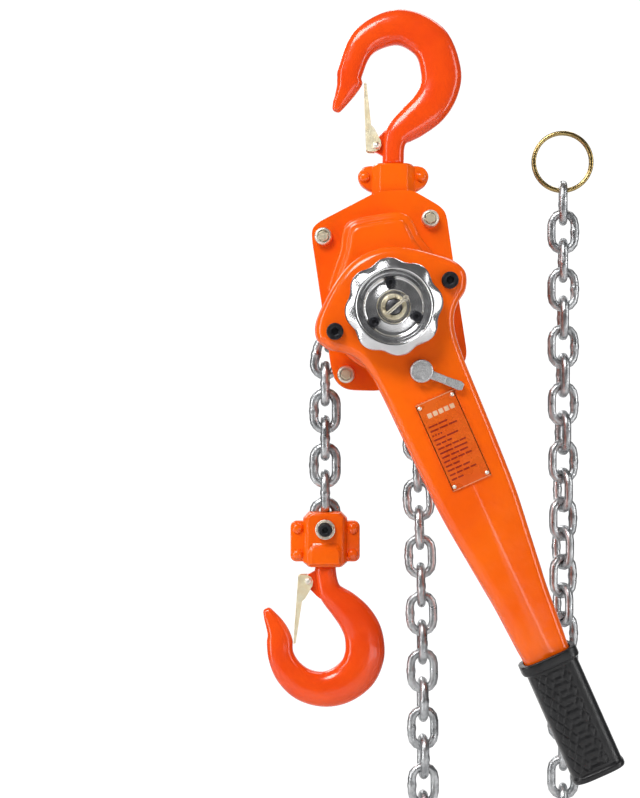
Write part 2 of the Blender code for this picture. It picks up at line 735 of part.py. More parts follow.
def handwheel(parent, count=48):
    """Eight soft lobes round a dished face with a deeper middle."""

    def lobed(radius, depth):
        ring = []
        for n in range(count):
            angle = 2 * pi * n / count
            reach = radius + depth * cos(8 * angle + 0.14)
            ring.append((reach * cos(angle), reach * sin(angle)))
        return ring

    profile = [(30.0, 0.0, -78.3), (37.5, 1.0, -80.0), (38.6, 1.4, -84.0), (38.2, 1.4, -91.0),
               (35.0, 0.7, -96.0), (32.0, 0.0, -97.0), (29.0, 0.0, -95.0), (27.0, 0.0, -86.5),
               (13.0, 0.0, -86.5), (12.4, 0.0, -83.0), (6.4, 0.0, -83.0), (6.4, 0.0, -78.3)]
    rings = [flat_ring(lobed(radius, depth), y) for radius, depth, y in profile]
    made = add("handwheel", loft(rings, closed=True), CAST_ALLOY, parent)
    for n in range(3):
        x, z = screw_place(n)
        hole = prism(circle(2.6, 10, (x, z)), -90, -76)
        cut(made, f"handwheel_hole_{n}", hole, parent)


def screw_place(number):
    angle = radians(88 + 120 * number)
    return 20.2 * cos(angle), 20.2 * sin(angle)


def handwheel_screw(number, parent):
    x, z = screw_place(number - 1)
    profile = [(2.3, -78.2), (2.3, -86.8), (4.4, -86.8), (4.4, -90.6)]
    add(f"handwheel_screw_{number}", turned(profile, 12), BLACK_OXIDE, parent, (x, 0, z))


def castle_nut(parent):
    """A round nut with six slots across its face."""
    slots = toothed(6, 7.8, 10.4, foot=0.36, crest=0.36)
    bore = resample_circle(6.6, slots)
    body = resample_circle(10.6, slots)
    rings = [(body, -83.3), (body, -88.0), (slots, -88.0), (slots, -91.5), (bore, -91.5),
             (bore, -83.3)]
    mesh = loft([flat_ring(points, y) for points, y in rings], closed=True)
    add("castle_nut", mesh, YELLOW_ZINC, parent)


def cotter_pin(parent):
    """The split pin across the castle nut, rising to the right."""
    lying = Matrix.Rotation(radians(90), 4, "Z")
    rising = Matrix.Rotation(-radians(31), 4, "Y")
    matrix = Matrix.Translation((2.4, -93.4, 0.4)) @ rising @ lying
    add("cotter_pin", turned([(1.5, -11.5), (1.5, 11.5)], 8), STEEL, parent, matrix=matrix)


# ---------------------------------------------------------------- lever


def lever_outline():
    """Anticlockwise outline of the lever: a lobed head, a broad neck and a long taper."""
    half = [
        (17.0, -405.0), (19.4, -318.0), (20.6, -300.0), (23.2, -262.0), (25.4, -242.0),
        (28.4, -215.0), (32.4, -178.0), (34.3, -140.0), (35.6, -103.0), (36.8, -62.0),
        (39.0, -40.0), (44.0, -26.0), (52.0, -17.0), (61.0, -10.5), (66.4, -1.0), (66.4, 7.0),
        (61.0, 16.5), (48.0, 28.5), (34.0, 39.0), (18.0, 47.5),
    ]
    return half + [(0.0, 50.5)] + [(-x, z) for x, z in reversed(half)]


def lever_shell(name, parent, face):
    """One pressed half of the lever, open towards the other half."""
    way = -1 if face < LEVER_SPLIT else 1
    rim = LEVER_SPLIT + way * GAP / 2
    made = add(name, tray(lever_outline(), rim, face, LEVER_SKIN, 5.0), ORANGE, parent)
    hole = 27.5 if way > 0 else 24.5
    ends = sorted((face - 6, face + 6))
    cut(made, name + "_head_hole", prism(circle(hole, 32), *ends), parent)
    for side in (-1, 1):
        place = (side * LEVER_BOLT[0], LEVER_BOLT[1])
        bolt_hole = prism(circle(4.0 + GAP, 12, place), *ends)
        cut(made, f"{name}_bolt_hole_{side + 1}", bolt_hole, parent)
    if way < 0:
        pivot = prism(circle(5.0 + GAP, 16, (0, -SELECTOR_DROP)), *ends)
        cut(made, name + "_selector_hole", pivot, parent)


def lever_bolt(number, parent, side):
    """A socket-head bolt through both shells, with its nut behind."""
    profile = [(7.0, LEVER_FACE - 6.0), (7.0, LEVER_FACE - GAP), (4.0, LEVER_FACE - GAP),
               (4.0, LEVER_BACK + GAP), (6.0, LEVER_BACK + GAP), (6.0, LEVER_BACK + 1.6)]
    at = (side * LEVER_BOLT[0], 0, LEVER_BOLT[1])
    add(f"lever_bolt_{number}", turned(profile, 16), BLACK_OXIDE, parent, at)


def name_plate(parent):
    outline = rounded_box(-17.0, 18.5, -158.5, -80.5, 1.5, 2)
    add("name_plate", prism(outline, LEVER_FACE - GAP, LEVER_FACE - 1.0), PLATE_FOIL, parent)


def grip(parent, sides=24):
    """A moulded sleeve with a collar, closed at its far end."""
    middle = (LEVER_BACK + LEVER_FACE) / 2

    def oval(half_width, half_depth, z):
        ring = []
        for n in range(sides):
            angle = 2 * pi * (n + 0.5) / sides
            power = 2 / 3.6
            x = half_width * abs(cos(angle)) ** power * (1 if cos(angle) > 0 else -1)
            y = half_depth * abs(sin(angle)) ** power * (1 if sin(angle) > 0 else -1)
            ring.append((x, middle + y, z))
        return ring

    rings = [
        oval(17.5, 14.5, GRIP_END), oval(21.6, 17.8, GRIP_END + 4), oval(21.8, 18.0, GRIP_END + 12),
        oval(22.0, 18.2, GRIP_TOP - 9), oval(25.0, 20.2, GRIP_TOP - 8), oval(25.0, 20.2, GRIP_TOP),
        oval(21.0, 16.6, GRIP_TOP), oval(20.2, 16.6, GRIP_END + 13.5),
    ]
    add("grip", loft(rings), RUBBER, parent)


def selector_knob(parent):
    """A cast disc with a stepped pointer, on a short stem through the front shell."""
    disc = circle(9.5, 24)
    made = add("selector_knob", prism(disc, LEVER_FACE - 0.6, LEVER_FACE - 8.0), CAST_ALLOY, parent)
    arm = [(-3.8, -2.0), (-3.2, -20.0), (-3.6, -34.0), (-2.0, -36.5), (2.0, -36.5), (3.6, -34.0),
           (3.2, -20.0), (3.8, -2.0)]
    join(made, "selector_arm", prism(arm, LEVER_FACE - 3.0, LEVER_FACE - 7.6), parent)
    stem = prism(circle(5.0, 16), LEVER_FACE + 10.5, LEVER_FACE - 2.0)
    join(made, "selector_stem", stem, parent)


def selector_pawl(parent):
    """The two-horned pawl under the knob. Its horns point at the change gear."""
    horns = [(9.0, -3.0), (8.0, 10.0), (12.0, 26.0), (9.0, 30.5), (6.0, 27.0), (3.0, 18.0),
             (-3.0, 18.0), (-6.0, 27.0), (-9.0, 30.5), (-12.0, 26.0), (-8.0, 10.0), (-9.0, -3.0),
             (0.0, -9.0)]
    add("selector_pawl", prism(horns, -62.5, -51.5), STEEL, parent)


# ---------------------------------------------------------------- assembly


def housing_to_world(point):
    """World (x, z) of a point of the housing's frame, whose top pin hangs at TOP_PIN."""
    turn = radians(HOUSING_TILT)
    x, z = point[0] - PIN_IN_HOUSING[0], point[1] - PIN_IN_HOUSING[1]
    return (TOP_PIN[0] + x * cos(turn) - z * sin(turn), TOP_PIN[1] + x * sin(turn) + z * cos(turn))


def build_hooks():
    root = empty("top_hook_frame", (0, 0))
    shank_end = TOP_YOKE_TOP + HOOK_CLEARANCE
    hook("top_hook", root, shank_end, top_hook_stations(shank_end), 0.0)
    latch("top_hook_latch", root, 0.0)
    upside_down = Matrix.Rotation(pi, 4, "X")
    bottom = empty("bottom_hook_frame", (BLOCK_X, BOTTOM_SADDLE_Z))
    shank_end = BOTTOM_SADDLE_Z - BLOCK_BOTTOM + HOOK_CLEARANCE
    stations = bottom_hook_stations(shank_end)
    hook("bottom_hook", bottom, shank_end, stations, BOTTOM_LATCH_RISE, upside_down)
    latch("bottom_hook_latch", bottom, BOTTOM_LATCH_RISE, upside_down)


def build_housing(drive):
    frame = empty("housing_frame", drive, HOUSING_TILT)
    side_plate("side_plate_front", frame, -1)
    side_plate("side_plate_rear", frame, 1)
    places = [(x, z) for z in (STAY_TOP, STAY_BOTTOM) for x in (-STAY_X, STAY_X)]
    for n, (x, z) in enumerate(places):
        stay_bolt(n + 1, frame, x, z)
    top_pin(frame)
    brake_cover(frame)
    gear_cover(frame)
    chain_guide(frame)
    return frame


def build_drive(frame):
    load_sheave(frame)
    load_gear(frame)
    for number, side in ((1, 1), (2, -1)):
        axle = empty(f"gear_axle_{number}", (side * GEAR_DISTANCE, 0), 0, frame)
        intermediate_gear(number, axle, side)
    drive_shaft(frame)
    brake_stack(frame)
    change_gear(frame)
    handwheel(frame)
    for number in (1, 2, 3):
        handwheel_screw(number, frame)
    castle_nut(frame)
    cotter_pin(frame)
    for number, angle in ((1, 60.0), (2, 240.0)):
        reach = (42.5 * cos(radians(angle)), 42.5 * sin(radians(angle)))
        pivot = empty(f"pawl_pivot_{number}", reach, angle - 90.0, frame)
        brake_pawl(number, pivot)


def build_lever(drive):
    frame = empty("lever_frame", drive, LEVER_TILT)
    lever_shell("lever_front_shell", frame, LEVER_FACE)
    lever_shell("lever_rear_shell", frame, LEVER_BACK)
    lever_bolt(1, frame, -1)
    lever_bolt(2, frame, 1)
    name_plate(frame)
    grip(frame)
    knob_axis = empty("selector_axis", (0, -SELECTOR_DROP), SELECTOR_TURN, frame)
    selector_knob(knob_axis)
    pawl_axis = empty("selector_pawl_axis", (0, -SELECTOR_DROP), SELECTOR_TURN * 0.2, frame)
    selector_pawl(pawl_axis)


def main():
    clear_scene()
    drive = housing_to_world((0.0, 0.0))
    build_hooks()
    top_yoke(empty("top_yoke_frame", TOP_PIN))
    frame = build_housing(drive)
    build_drive(frame)
    build_lever(drive)
    sheave_links(drive)
    load_strand()
    block = empty("block_frame", (BLOCK_X, ANCHOR_Z))
    bottom_yoke(block)
    chain_anchor_bolt(block)
    slack_chain(drive)
    end_ring()


main()
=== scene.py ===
"""The looks of the lever chain hoist.

The frame holds the sizes and the motion, and this script puts fine meshes and materials on it.
Lengths in the mesh code are millimetres, and become metres where an object is made.
"""

import json
from math import cos, exp, hypot, pi, radians, sin

import bmesh
import bpy
from mathutils import Matrix, Vector


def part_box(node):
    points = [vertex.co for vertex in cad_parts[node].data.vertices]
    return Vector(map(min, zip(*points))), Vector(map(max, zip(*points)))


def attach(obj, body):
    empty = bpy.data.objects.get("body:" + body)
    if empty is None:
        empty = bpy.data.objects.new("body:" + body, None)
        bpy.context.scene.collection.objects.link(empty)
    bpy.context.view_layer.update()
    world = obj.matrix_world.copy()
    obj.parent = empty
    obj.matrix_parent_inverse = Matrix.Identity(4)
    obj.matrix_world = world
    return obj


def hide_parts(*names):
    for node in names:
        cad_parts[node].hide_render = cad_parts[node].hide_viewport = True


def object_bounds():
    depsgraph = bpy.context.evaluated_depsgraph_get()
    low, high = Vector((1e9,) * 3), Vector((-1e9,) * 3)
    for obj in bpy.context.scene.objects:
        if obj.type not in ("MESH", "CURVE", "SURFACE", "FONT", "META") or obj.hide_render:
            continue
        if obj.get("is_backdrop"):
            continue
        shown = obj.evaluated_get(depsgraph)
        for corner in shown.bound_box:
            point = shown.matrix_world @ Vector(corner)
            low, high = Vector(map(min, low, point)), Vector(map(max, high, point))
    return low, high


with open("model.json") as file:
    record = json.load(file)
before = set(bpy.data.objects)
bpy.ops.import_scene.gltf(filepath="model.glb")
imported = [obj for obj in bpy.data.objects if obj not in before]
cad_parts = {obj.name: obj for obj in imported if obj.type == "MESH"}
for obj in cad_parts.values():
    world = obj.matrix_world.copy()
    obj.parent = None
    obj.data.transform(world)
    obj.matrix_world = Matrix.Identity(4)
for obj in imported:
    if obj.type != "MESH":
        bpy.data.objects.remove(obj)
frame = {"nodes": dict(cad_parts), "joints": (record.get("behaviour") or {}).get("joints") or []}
cad_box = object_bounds()

MM = 0.001
JOINTS = {joint["name"]: joint for joint in frame["joints"]}

# the camera, the place that the lamps point at and the round floor, in metres
CAMERA_PLACE = (-0.06293, -1.5, -0.30517)
LIT_PLACE = Vector((0.02, 0, -0.3))
FLOOR_HEIGHT = -0.90
FLOOR_RADIUS = 1.35
FLOOR_MIDDLE = (0.04, -0.35)
# focal length in millimetres, on a sensor 36 mm wide
LENS = 97.9
# from ring to ring of the turned alloy, in metres
TOOL_MARK_PITCH = 0.0007

# the links: their wire, loaded and free, their width over all, and how far the middle line of a bow
# lies from a link's middle
WIRE = 8.0
FREE_WIRE = 7.3
LINK_WIDTH = 27.2
LINK_REACH = 16.0
# where a link's weld swells its leg: (height on the leg, times the wire)
WELD = ((3.0, 1.0), (1.6, 1.10), (0.0, 1.13), (-1.6, 1.10), (-3.0, 1.0))
# loaded links that still lean as they leave the sheave, in degrees
FIRST_LEANS = {1: -23.0, 2: -12.0}

# how the housing, the lever and its selector stand, in degrees
HOUSING_TILT = 9.4
LEVER_TILT = 24.0
SELECTOR_TURN = 45.0

# faces of the side plates, the covers and the lever, along Y
PLATE_OUTSIDE = 20.15
PLATE_INSIDE = 16.0
COVER_RIM = 20.4
BRAKE_COVER_FACE = 44.0
GEAR_COVER_FACE = 43.0
LEVER_BACK = -46.0
LEVER_SPLIT = -60.0
LEVER_FACE = -74.0

# on the lever, from the drive's axis, and the grooves of its grip
LEVER_BOLT = (51.5, 1.5)
SELECTOR_DROP = 57.0
GRIP_TOP = -313.0
GRIP_END = -420.0
KNURL_PITCH = 6.4
KNURL_DEPTH = 0.9
KNURL_HALF_WIDTH = 1.1

# hooks, with z from the saddle. The bottom one stands upside down, with its lug nearer its bowl
TOP_SHANK_END = -101.7
BOTTOM_SHANK_END = -90.1
BOTTOM_SADDLE_HEIGHT = -541.0
BOTTOM_LUG_RISE = 8.0
BOTTOM_LATCH_LEAN = 2.3
HOOK_STEPS = 6


# ---- places


def joint_at(name):
    """A joint's place in the row frame, in millimetres."""
    return Vector(JOINTS[name]["pos_m"]) / MM


def placed(at, turn=0.0):
    """A frame at a point, turned anticlockwise by turn degrees as seen from the front."""
    return Matrix.Translation(at) @ Matrix.Rotation(-radians(turn), 4, "Y")


def box_middle(node):
    low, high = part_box(node)
    return (Vector(low) + Vector(high)) / 2 / MM


DRIVE = joint_at("lever_swing")
HOUSING = placed(DRIVE, HOUSING_TILT)
LEVER = placed(DRIVE, LEVER_TILT)
TOP_PIN = joint_at("housing_swing")
ANCHOR = joint_at("block_turn")
BOTTOM_SADDLE = Vector((ANCHOR.x, 0, BOTTOM_SADDLE_HEIGHT))
UPSIDE_DOWN = Matrix.Rotation(pi, 4, "X")


# ---- camera, light and backdrop


def camera():
    """The photographer stands level with the lever's shoulder, a metre and a half away."""
    data = bpy.data.cameras.new("camera")
    data.sensor_fit = "HORIZONTAL"
    data.sensor_width = 36
    data.lens = LENS
    data.clip_end = 20
    made = shown("camera", data)
    made.location = CAMERA_PLACE
    made.rotation_euler = (radians(90), 0, 0)
    bpy.context.scene.camera = made


def area_light(name, at, size, power):
    data = bpy.data.lights.new(name, "AREA")
    data.shape = "RECTANGLE"
    data.size, data.size_y = size
    data.energy = power
    made = shown(name, data)
    made.location = at
    way = LIT_PLACE - Vector(at)
    made.rotation_euler = way.to_track_quat("-Z", "Y").to_euler()


def backdrop():
    """A plain pale floor, a little way below the low loop of the free chain."""
    bm = bmesh.new()
    rim = circle(FLOOR_RADIUS, 96, FLOOR_MIDDLE)
    bm.faces.new([bm.verts.new((x, y, FLOOR_HEIGHT)) for x, y in rim])
    mesh = meshed("floor", bm)
    paper, _, shader = blank("floor_paper")
    shader.inputs["Base Color"].default_value = (0.86, 0.86, 0.86, 1)
    shader.inputs["Roughness"].default_value = 0.9
    mesh.materials.append(paper)
    shown("floor", mesh)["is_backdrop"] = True


def studio():
    """A key from above, a box at each side, a fill from below, and two lamps from behind."""
    area_light("key", (-0.9, -1.5, 1.3), (1.0, 0.8), 39)
    area_light("left_box", (-1.3, -0.5, -0.2), (0.20, 1.7), 9)
    area_light("right_box", (1.5, -0.7, -0.1), (0.35, 1.7), 10)
    area_light("low_fill", (0.9, -1.8, -1.0), (1.2, 0.6), 7)
    area_light("rim", (0.4, 0.9, 1.2), (1.2, 0.5), 7)
    area_light("back", (-1.1, 1.9, 1.1), (1.0, 0.8), 14)
    surround()
    bpy.context.scene.view_settings.view_transform = "Standard"


def surround():
    """White to look at. It lights the hoist brightly from behind, and dimly from all round."""
    world = bpy.data.worlds.new("studio")
    world.use_nodes = True
    tree = world.node_tree
    sky = tree.nodes["Background"]
    sky.inputs["Strength"].default_value = 1.0
    place = node(tree, "TexCoord").outputs["Generated"]
    behind = maths(tree, "DOT_PRODUCT", place, (0, 1, 0), kind="VectorMath")
    level = spread(tree, behind, 0.11, 1.1, 0.78, 0.90)
    seen = node(tree, "LightPath").outputs["Is Camera Ray"]
    give(tree, sky.inputs["Color"], maths(tree, "MAXIMUM", level, seen))
    bpy.context.scene.world = world


# ---- materials


def give(tree, socket, value):
    """Wires another node's output to a socket, or sets the socket to a value."""
    if isinstance(value, bpy.types.NodeSocket):
        tree.links.new(value, socket)
    else:
        socket.default_value = value


def node(tree, kind, **sockets):
    """A new shader node. A socket's name has _ for each space."""
    made = tree.nodes.new("ShaderNode" + kind)
    for name, value in sockets.items():
        give(tree, made.inputs[name.replace("_", " ")], value)
    return made


def noise(tree, scale, detail, stretch=(1, 1, 1)):
    """Noise in the object's own space. scale counts its features in a metre."""
    place = node(tree, "TexCoord").outputs["Object"]
    mapping = node(tree, "Mapping", Vector=place, Scale=stretch)
    made = node(tree, "TexNoise", Vector=mapping.outputs["Vector"], Scale=scale, Detail=detail)
    return made.outputs["Fac"]


def spread(tree, value, low, high, start=0.35, end=0.65):
    """Turns a value from start to end, such as noise, into one from low to high."""
    ends = {"From_Min": start, "From_Max": end, "To_Min": low, "To_Max": high}
    return node(tree, "MapRange", Value=value, **ends).outputs["Result"]


def mixed(tree, factor, one, other):
    """A colour between two, by a factor from 0 to 1."""
    made = tree.nodes.new("ShaderNodeMix")
    made.data_type = "RGBA"
    for name, colour in (("A", one), ("B", other)):
        socket = next(s for s in made.inputs if s.name == name and s.type == "RGBA")
        socket.default_value = (*colour, 1)
    give(tree, made.inputs["Factor"], factor)
    return next(s for s in made.outputs if s.type == "RGBA")


def maths(tree, operation, *values, kind="Math", result="Value"):
    made = node(tree, kind)
    made.operation = operation
    for socket, value in zip(made.inputs, values):
        give(tree, socket, value)
    return made.outputs[result]


def along(tree, direction, origin):
    """How far a point lies from an origin along a direction, in metres."""
    place = node(tree, "TexCoord").outputs["Object"]
    away = maths(tree, "SUBTRACT", place, origin, kind="VectorMath", result="Vector")
    return maths(tree, "DOT_PRODUCT", away, direction, kind="VectorMath")


def relief(tree, shader, layers):
    """Chains bumps: each layer is (height, distance in metres)."""
    before = None
    for height, distance in layers:
        bump = node(tree, "Bump", Height=height, Distance=distance)
        if before:
            give(tree, bump.inputs["Normal"], before)
        before = bump.outputs["Normal"]
    give(tree, shader.inputs["Normal"], before)


def blank(name, metallic=0.0, coat=0.0, specular=0.5):
    """A new material with its tree and its shader."""
    made = bpy.data.materials.new(name)
    made.use_nodes = True
    shader = made.node_tree.nodes["Principled BSDF"]
    shader.inputs["Metallic"].default_value = metallic
    shader.inputs["Coat Weight"].default_value = coat
    shader.inputs["Coat Roughness"].default_value = 0.08
    shader.inputs["Specular IOR Level"].default_value = specular
    return made, made.node_tree, shader


def clouded(tree, shader, colours, tone, dull, rough):
    """Noise between two colours, and noise in the roughness. tone and dull say which noise."""
    clouds = spread(tree, noise(tree, *tone), 0, 1)
    give(tree, shader.inputs["Base Color"], mixed(tree, clouds, *colours))
    give(tree, shader.inputs["Roughness"], spread(tree, noise(tree, *dull), *rough))


def skin(name, colours, tone, dull, rough, bumps, **base):
    """A clouded material with a relief. Each bump is (which noise, distance in metres)."""
    made, tree, shader = blank(name, **base)
    clouded(tree, shader, colours, tone, dull, rough)
    relief(tree, shader, [(noise(tree, *kind), distance) for kind, distance in bumps])
    return made


def enamel(name, *colours):
    """Thick glossy paint: faint orange peel, a little dust, and a deeper tone in patches."""
    bumps = (((60, 2), 0.0006), ((520, 2), 0.00012))
    return skin(name, colours, (22, 4), (90, 5), (0.14, 0.25), bumps, coat=0.5, specular=0.3)


def plated(name, light, dark, rough):
    """Zinc plating: cloudy, with fine scratches and a pitted skin."""
    bumps = (((900, 4), 0.00022), ((700, 2, (1, 1, 0.12)), 0.00008))
    return skin(name, (light, dark), (130, 6), (210, 5), rough, bumps, metallic=1.0)


def cast(name, light, dark, grain, depth, rough=(0.34, 0.52)):
    """Cast or sintered metal with a granular skin."""
    bumps = (((120, 3), 0.0004), ((grain, 5), depth))
    return skin(name, (light, dark), (grain, 5), (300, 4), rough, bumps, metallic=0.9)


def machined(name, *colours):
    """Bright alloy turned on a lathe: fine rings about the drive's axis."""
    made, tree, shader = blank(name, metallic=1.0)
    clouded(tree, shader, colours, (70, 5), (160, 5), (0.17, 0.27))
    axes = ((1, 0, 0), (0, 0, 1))
    reaches = [maths(tree, "POWER", along(tree, axis, DRIVE * MM), 2.0) for axis in axes]
    radius = maths(tree, "SQRT", maths(tree, "ADD", *reaches))
    rings = maths(tree, "SINE", maths(tree, "MULTIPLY", radius, 2 * pi / TOOL_MARK_PITCH))
    relief(tree, shader, ((rings, 0.000012), (noise(tree, 500, 3), 0.00004)))
    return made


def oiled(name, light, dark, metallic=0.7):
    """Blackened steel with an oily, uneven shine."""
    bumps = (((1200, 3), 0.0001),)
    return skin(name, (light, dark), (240, 4), (330, 4), (0.26, 0.5), bumps, metallic=metallic)


def rubber(name, *colours):
    """Moulded black rubber: a fine grain, with a dull shine where hands have worn it."""
    return skin(name, colours, (90, 4), (260, 4), (0.28, 0.42), (((1500, 2), 0.0001),))


def foil(name, *colours):
    """Printed metal foil, with a faint ripple from its rivets."""
    bumps = (((55, 2), 0.0004),)
    return skin(name, colours, (45, 3), (140, 3), (0.22, 0.34), bumps, metallic=0.25, coat=0.4)


def make_materials():
    return {
        "body": enamel("body_enamel", (1.0, 0.142, 0.001), (0.94, 0.112, 0.001)),
        "hook": enamel("hook_enamel", (0.93, 0.085, 0.004), (0.84, 0.058, 0.003)),
        "chain": plated("chain_zinc", (0.64, 0.65, 0.66), (0.34, 0.35, 0.36), (0.26, 0.42)),
        "yellow": plated("yellow_zinc", (0.78, 0.66, 0.34), (0.58, 0.44, 0.22), (0.14, 0.32)),
        "nut": plated("nut_zinc", (0.93, 0.89, 0.80), (0.76, 0.72, 0.62), (0.38, 0.55)),
        "stud": plated("stud_zinc", (0.90, 0.83, 0.64), (0.72, 0.64, 0.46), (0.4, 0.55)),
        "brass": plated("ring_brass", (0.52, 0.39, 0.16), (0.36, 0.25, 0.10), (0.12, 0.26)),
        "latch": plated("latch_zinc", (1.0, 0.93, 0.70), (0.90, 0.78, 0.52), (0.48, 0.62)),
        "steel": plated("gear_steel", (0.52, 0.52, 0.53), (0.36, 0.36, 0.37), (0.28, 0.42)),
        "wheel": machined("wheel_alloy", (0.80, 0.80, 0.81), (0.66, 0.66, 0.67)),
        "knob": cast("knob_casting", (0.72, 0.72, 0.72), (0.46, 0.46, 0.47), 1100, 0.0003),
        "dark": oiled("dark_steel", (0.16, 0.16, 0.17), (0.07, 0.07, 0.075)),
        "black": oiled("black_oxide", (0.022, 0.023, 0.028), (0.010, 0.010, 0.013), 0.4),
        "grip": rubber("grip_rubber", (0.005, 0.005, 0.006), (0.010, 0.010, 0.011)),
        "plate": foil("plate_foil", (0.93, 0.15, 0.008), (0.86, 0.11, 0.006)),
        "pale": foil("plate_pale", (0.95, 0.62, 0.40), (0.90, 0.50, 0.30)),
        "print": foil("plate_print", (0.40, 0.03, 0.01), (0.33, 0.02, 0.008)),
        "lining": cast("brake_lining", (0.20, 0.13, 0.08), (0.12, 0.08, 0.05), 800, 0.0002,
                       (0.7, 0.9)),
    }


# ---- mesh helpers


def loft(rings, closed=False):
    """Skins rings of equal point count, with caps unless the last ring joins the first."""
    bm = bmesh.new()
    made = [[bm.verts.new(point) for point in ring] for ring in rings]
    pairs = list(zip(made, made[1:]))
    if closed:
        pairs.append((made[-1], made[0]))
    else:
        bm.faces.new(made[0])
        bm.faces.new(made[-1])
    for one, other in pairs:
        for n in range(len(one)):
            m = (n + 1) % len(one)
            bm.faces.new((one[n], one[m], other[m], other[n]))
    return bm


def flat_ring(outline, y):
    return [(x, y, z) for x, z in outline]


def layered(*layers, closed=False):
    """Skins flat outlines, each given with its y."""
    return loft([flat_ring(outline, y) for outline, y in layers], closed)


def outwards(angle):
    return Vector((cos(angle), 0, sin(angle)))


def section(centre, across, wide, deep, count, power=1.0, start=0.0):
    """Points round a centre: wide along across, deep along Y, and squarer for a lower power."""
    ring = []
    for k in range(count):
        angle = start + 2 * pi * k / count
        x, y = (abs(v) ** power * (1 if v >= 0 else -1) for v in (cos(angle), sin(angle)))
        ring.append(centre + across * wide * x + Vector((0, deep * y, 0)))
    return ring


def circle(radius, count, centre=(0.0, 0.0), start=0.0):
    steps = [start + 2 * pi * n / count for n in range(count)]
    return [(centre[0] + radius * cos(a), centre[1] + radius * sin(a)) for a in steps]


def prism(outline, y0, y1):
    return layered((outline, y0), (outline, y1))


def turned(profile, count, closed=False):
    """Turns a profile of (radius, y) about the Y axis."""
    return layered(*((circle(r, count), y) for r, y in profile), closed=closed)


def step_in(outline, depth):
    """Moves each side of an anticlockwise outline inwards by depth."""
    moved = []
    count = len(outline)
    for n in range(count):
        before = Vector(outline[n - 1])
        here = Vector(outline[n])
        after = Vector(outline[(n + 1) % count])
        one = (here - before).normalized()
        two = (after - here).normalized()
        normal = Vector((-one.y - two.y, one.x + two.x)).normalized()
        lean = max(0.5, normal.dot(Vector((-one.y, one.x))))
        moved.append(tuple(here + normal * depth / lean))
    return moved


def inset(outline, depth):
    """Moves an outline inwards in small steps, eased after each one."""
    count = max(1, round(abs(depth) / 1.5))
    for _ in range(count):
        outline = step_in(outline, depth / count)
        if count > 1:
            here = [Vector(p) for p in outline]
            before, after = [here[-1], *here], [*here[1:], here[0]]
            outline = [tuple(0.25 * a + 0.5 * b + 0.25 * c) for a, b, c in zip(before, here, after)]
    return outline


def evened(outline, count):
    """The outline as a count of points, evenly spaced along it, from the same first point."""
    ends = [Vector(p) for p in (*outline, outline[0])]
    length = line_length(ends)
    return [tuple(point) for point, _ in walk(ends, [length * n / count for n in range(count)])]


def line_length(points):
    return sum((other - one).length for one, other in zip(points, points[1:]))


def walk(points, distances):
    """Points at rising distances along a line, with the way at each."""
    lengths = [0.0]
    for one, other in zip(points, points[1:]):
        lengths.append(lengths[-1] + (other - one).length)
    made = []
    leg = 0
    for reach in distances:
        while lengths[leg + 1] <= reach:
            leg += 1
        share = (reach - lengths[leg]) / (lengths[leg + 1] - lengths[leg])
        way = (points[leg + 1] - points[leg]).normalized()
        made.append((points[leg].lerp(points[leg + 1], share), way))
    return made


def even_inset(outline, depth):
    """An inset that can't cross itself at tight corners, for an outline of even spacing."""
    count = max(1, round(abs(depth) / 0.6))
    for _ in range(count):
        outline = evened(step_in(outline, depth / count), len(outline))
    return outline


def catmull_rom(p0, p1, p2, p3, t):
    return 0.5 * (
        2 * p1
        + (p2 - p0) * t
        + (2 * p0 - 5 * p1 + 4 * p2 - p3) * t**2
        + (3 * p1 - p0 - 3 * p2 + p3) * t**3
    )


def smooth_line(points, steps):
    """An open Catmull-Rom curve through the points, ends included."""
    points = [Vector(p) for p in points]
    ends = [2 * points[0] - points[1], *points, 2 * points[-1] - points[-2]]
    made = []
    for n in range(len(points) - 1):
        made += [catmull_rom(*ends[n : n + 4], s / steps) for s in range(steps)]
    return [*made, points[-1]]


def smooth_outline(points, steps):
    """A closed Catmull-Rom curve through the points."""
    points = [Vector(p) for p in points]
    count = len(points)
    made = []
    for n in range(count):
        four = [points[(n + k) % count] for k in (-1, 0, 1, 2)]
        made += [tuple(catmull_rom(*four, s / steps)) for s in range(steps)]
    return made


def rounded_box(x0, x1, z0, z1, radius, steps=6):
    """An anticlockwise rectangle with round corners."""
    left, right, low, high = x0 + radius, x1 - radius, z0 + radius, z1 - radius
    made = []
    for quarter, (x, z) in enumerate(((right, high), (left, high), (left, low), (right, low))):
        for k in range(steps + 1):
            angle = pi / 2 * (quarter + k / steps)
            made.append((x + radius * cos(angle), z + radius * sin(angle)))
    return made


def merged(*parts):
    """One bmesh of several."""
    whole = bmesh.new()
    for part in parts:
        bmesh.ops.recalc_face_normals(part, faces=part.faces)
        mesh = meshed("part", part)
        whole.from_mesh(mesh)
        bpy.data.meshes.remove(mesh)
    return whole


def moved(bm, matrix):
    bm.transform(matrix)
    return bm


def meshed(name, bm):
    mesh = bpy.data.meshes.new(name)
    bm.to_mesh(mesh)
    bm.free()
    return mesh


def shown(name, data):
    """A new object in the scene."""
    made = bpy.data.objects.new(name, data)
    bpy.context.scene.collection.objects.link(made)
    return made


def piece(name, bm, finish, body, matrix=None, replaces=(), bevel=0.0, sharp=38):
    """Makes a piece of the hoist that rides on a body and may stand for CAD nodes."""
    if matrix is not None:
        bm.transform(matrix)
    bmesh.ops.scale(bm, vec=(MM, MM, MM), verts=bm.verts)
    bmesh.ops.recalc_face_normals(bm, faces=bm.faces)
    mesh = meshed(name, bm)
    mesh.shade_smooth()
    mesh.set_sharp_from_angle(angle=radians(sharp))
    mesh.materials.append(MATERIALS[finish])
    made = shown(name, mesh)
    if bevel:
        soften(made, bevel)
    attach(made, body)
    if replaces:
        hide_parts(*replaces)
    return made


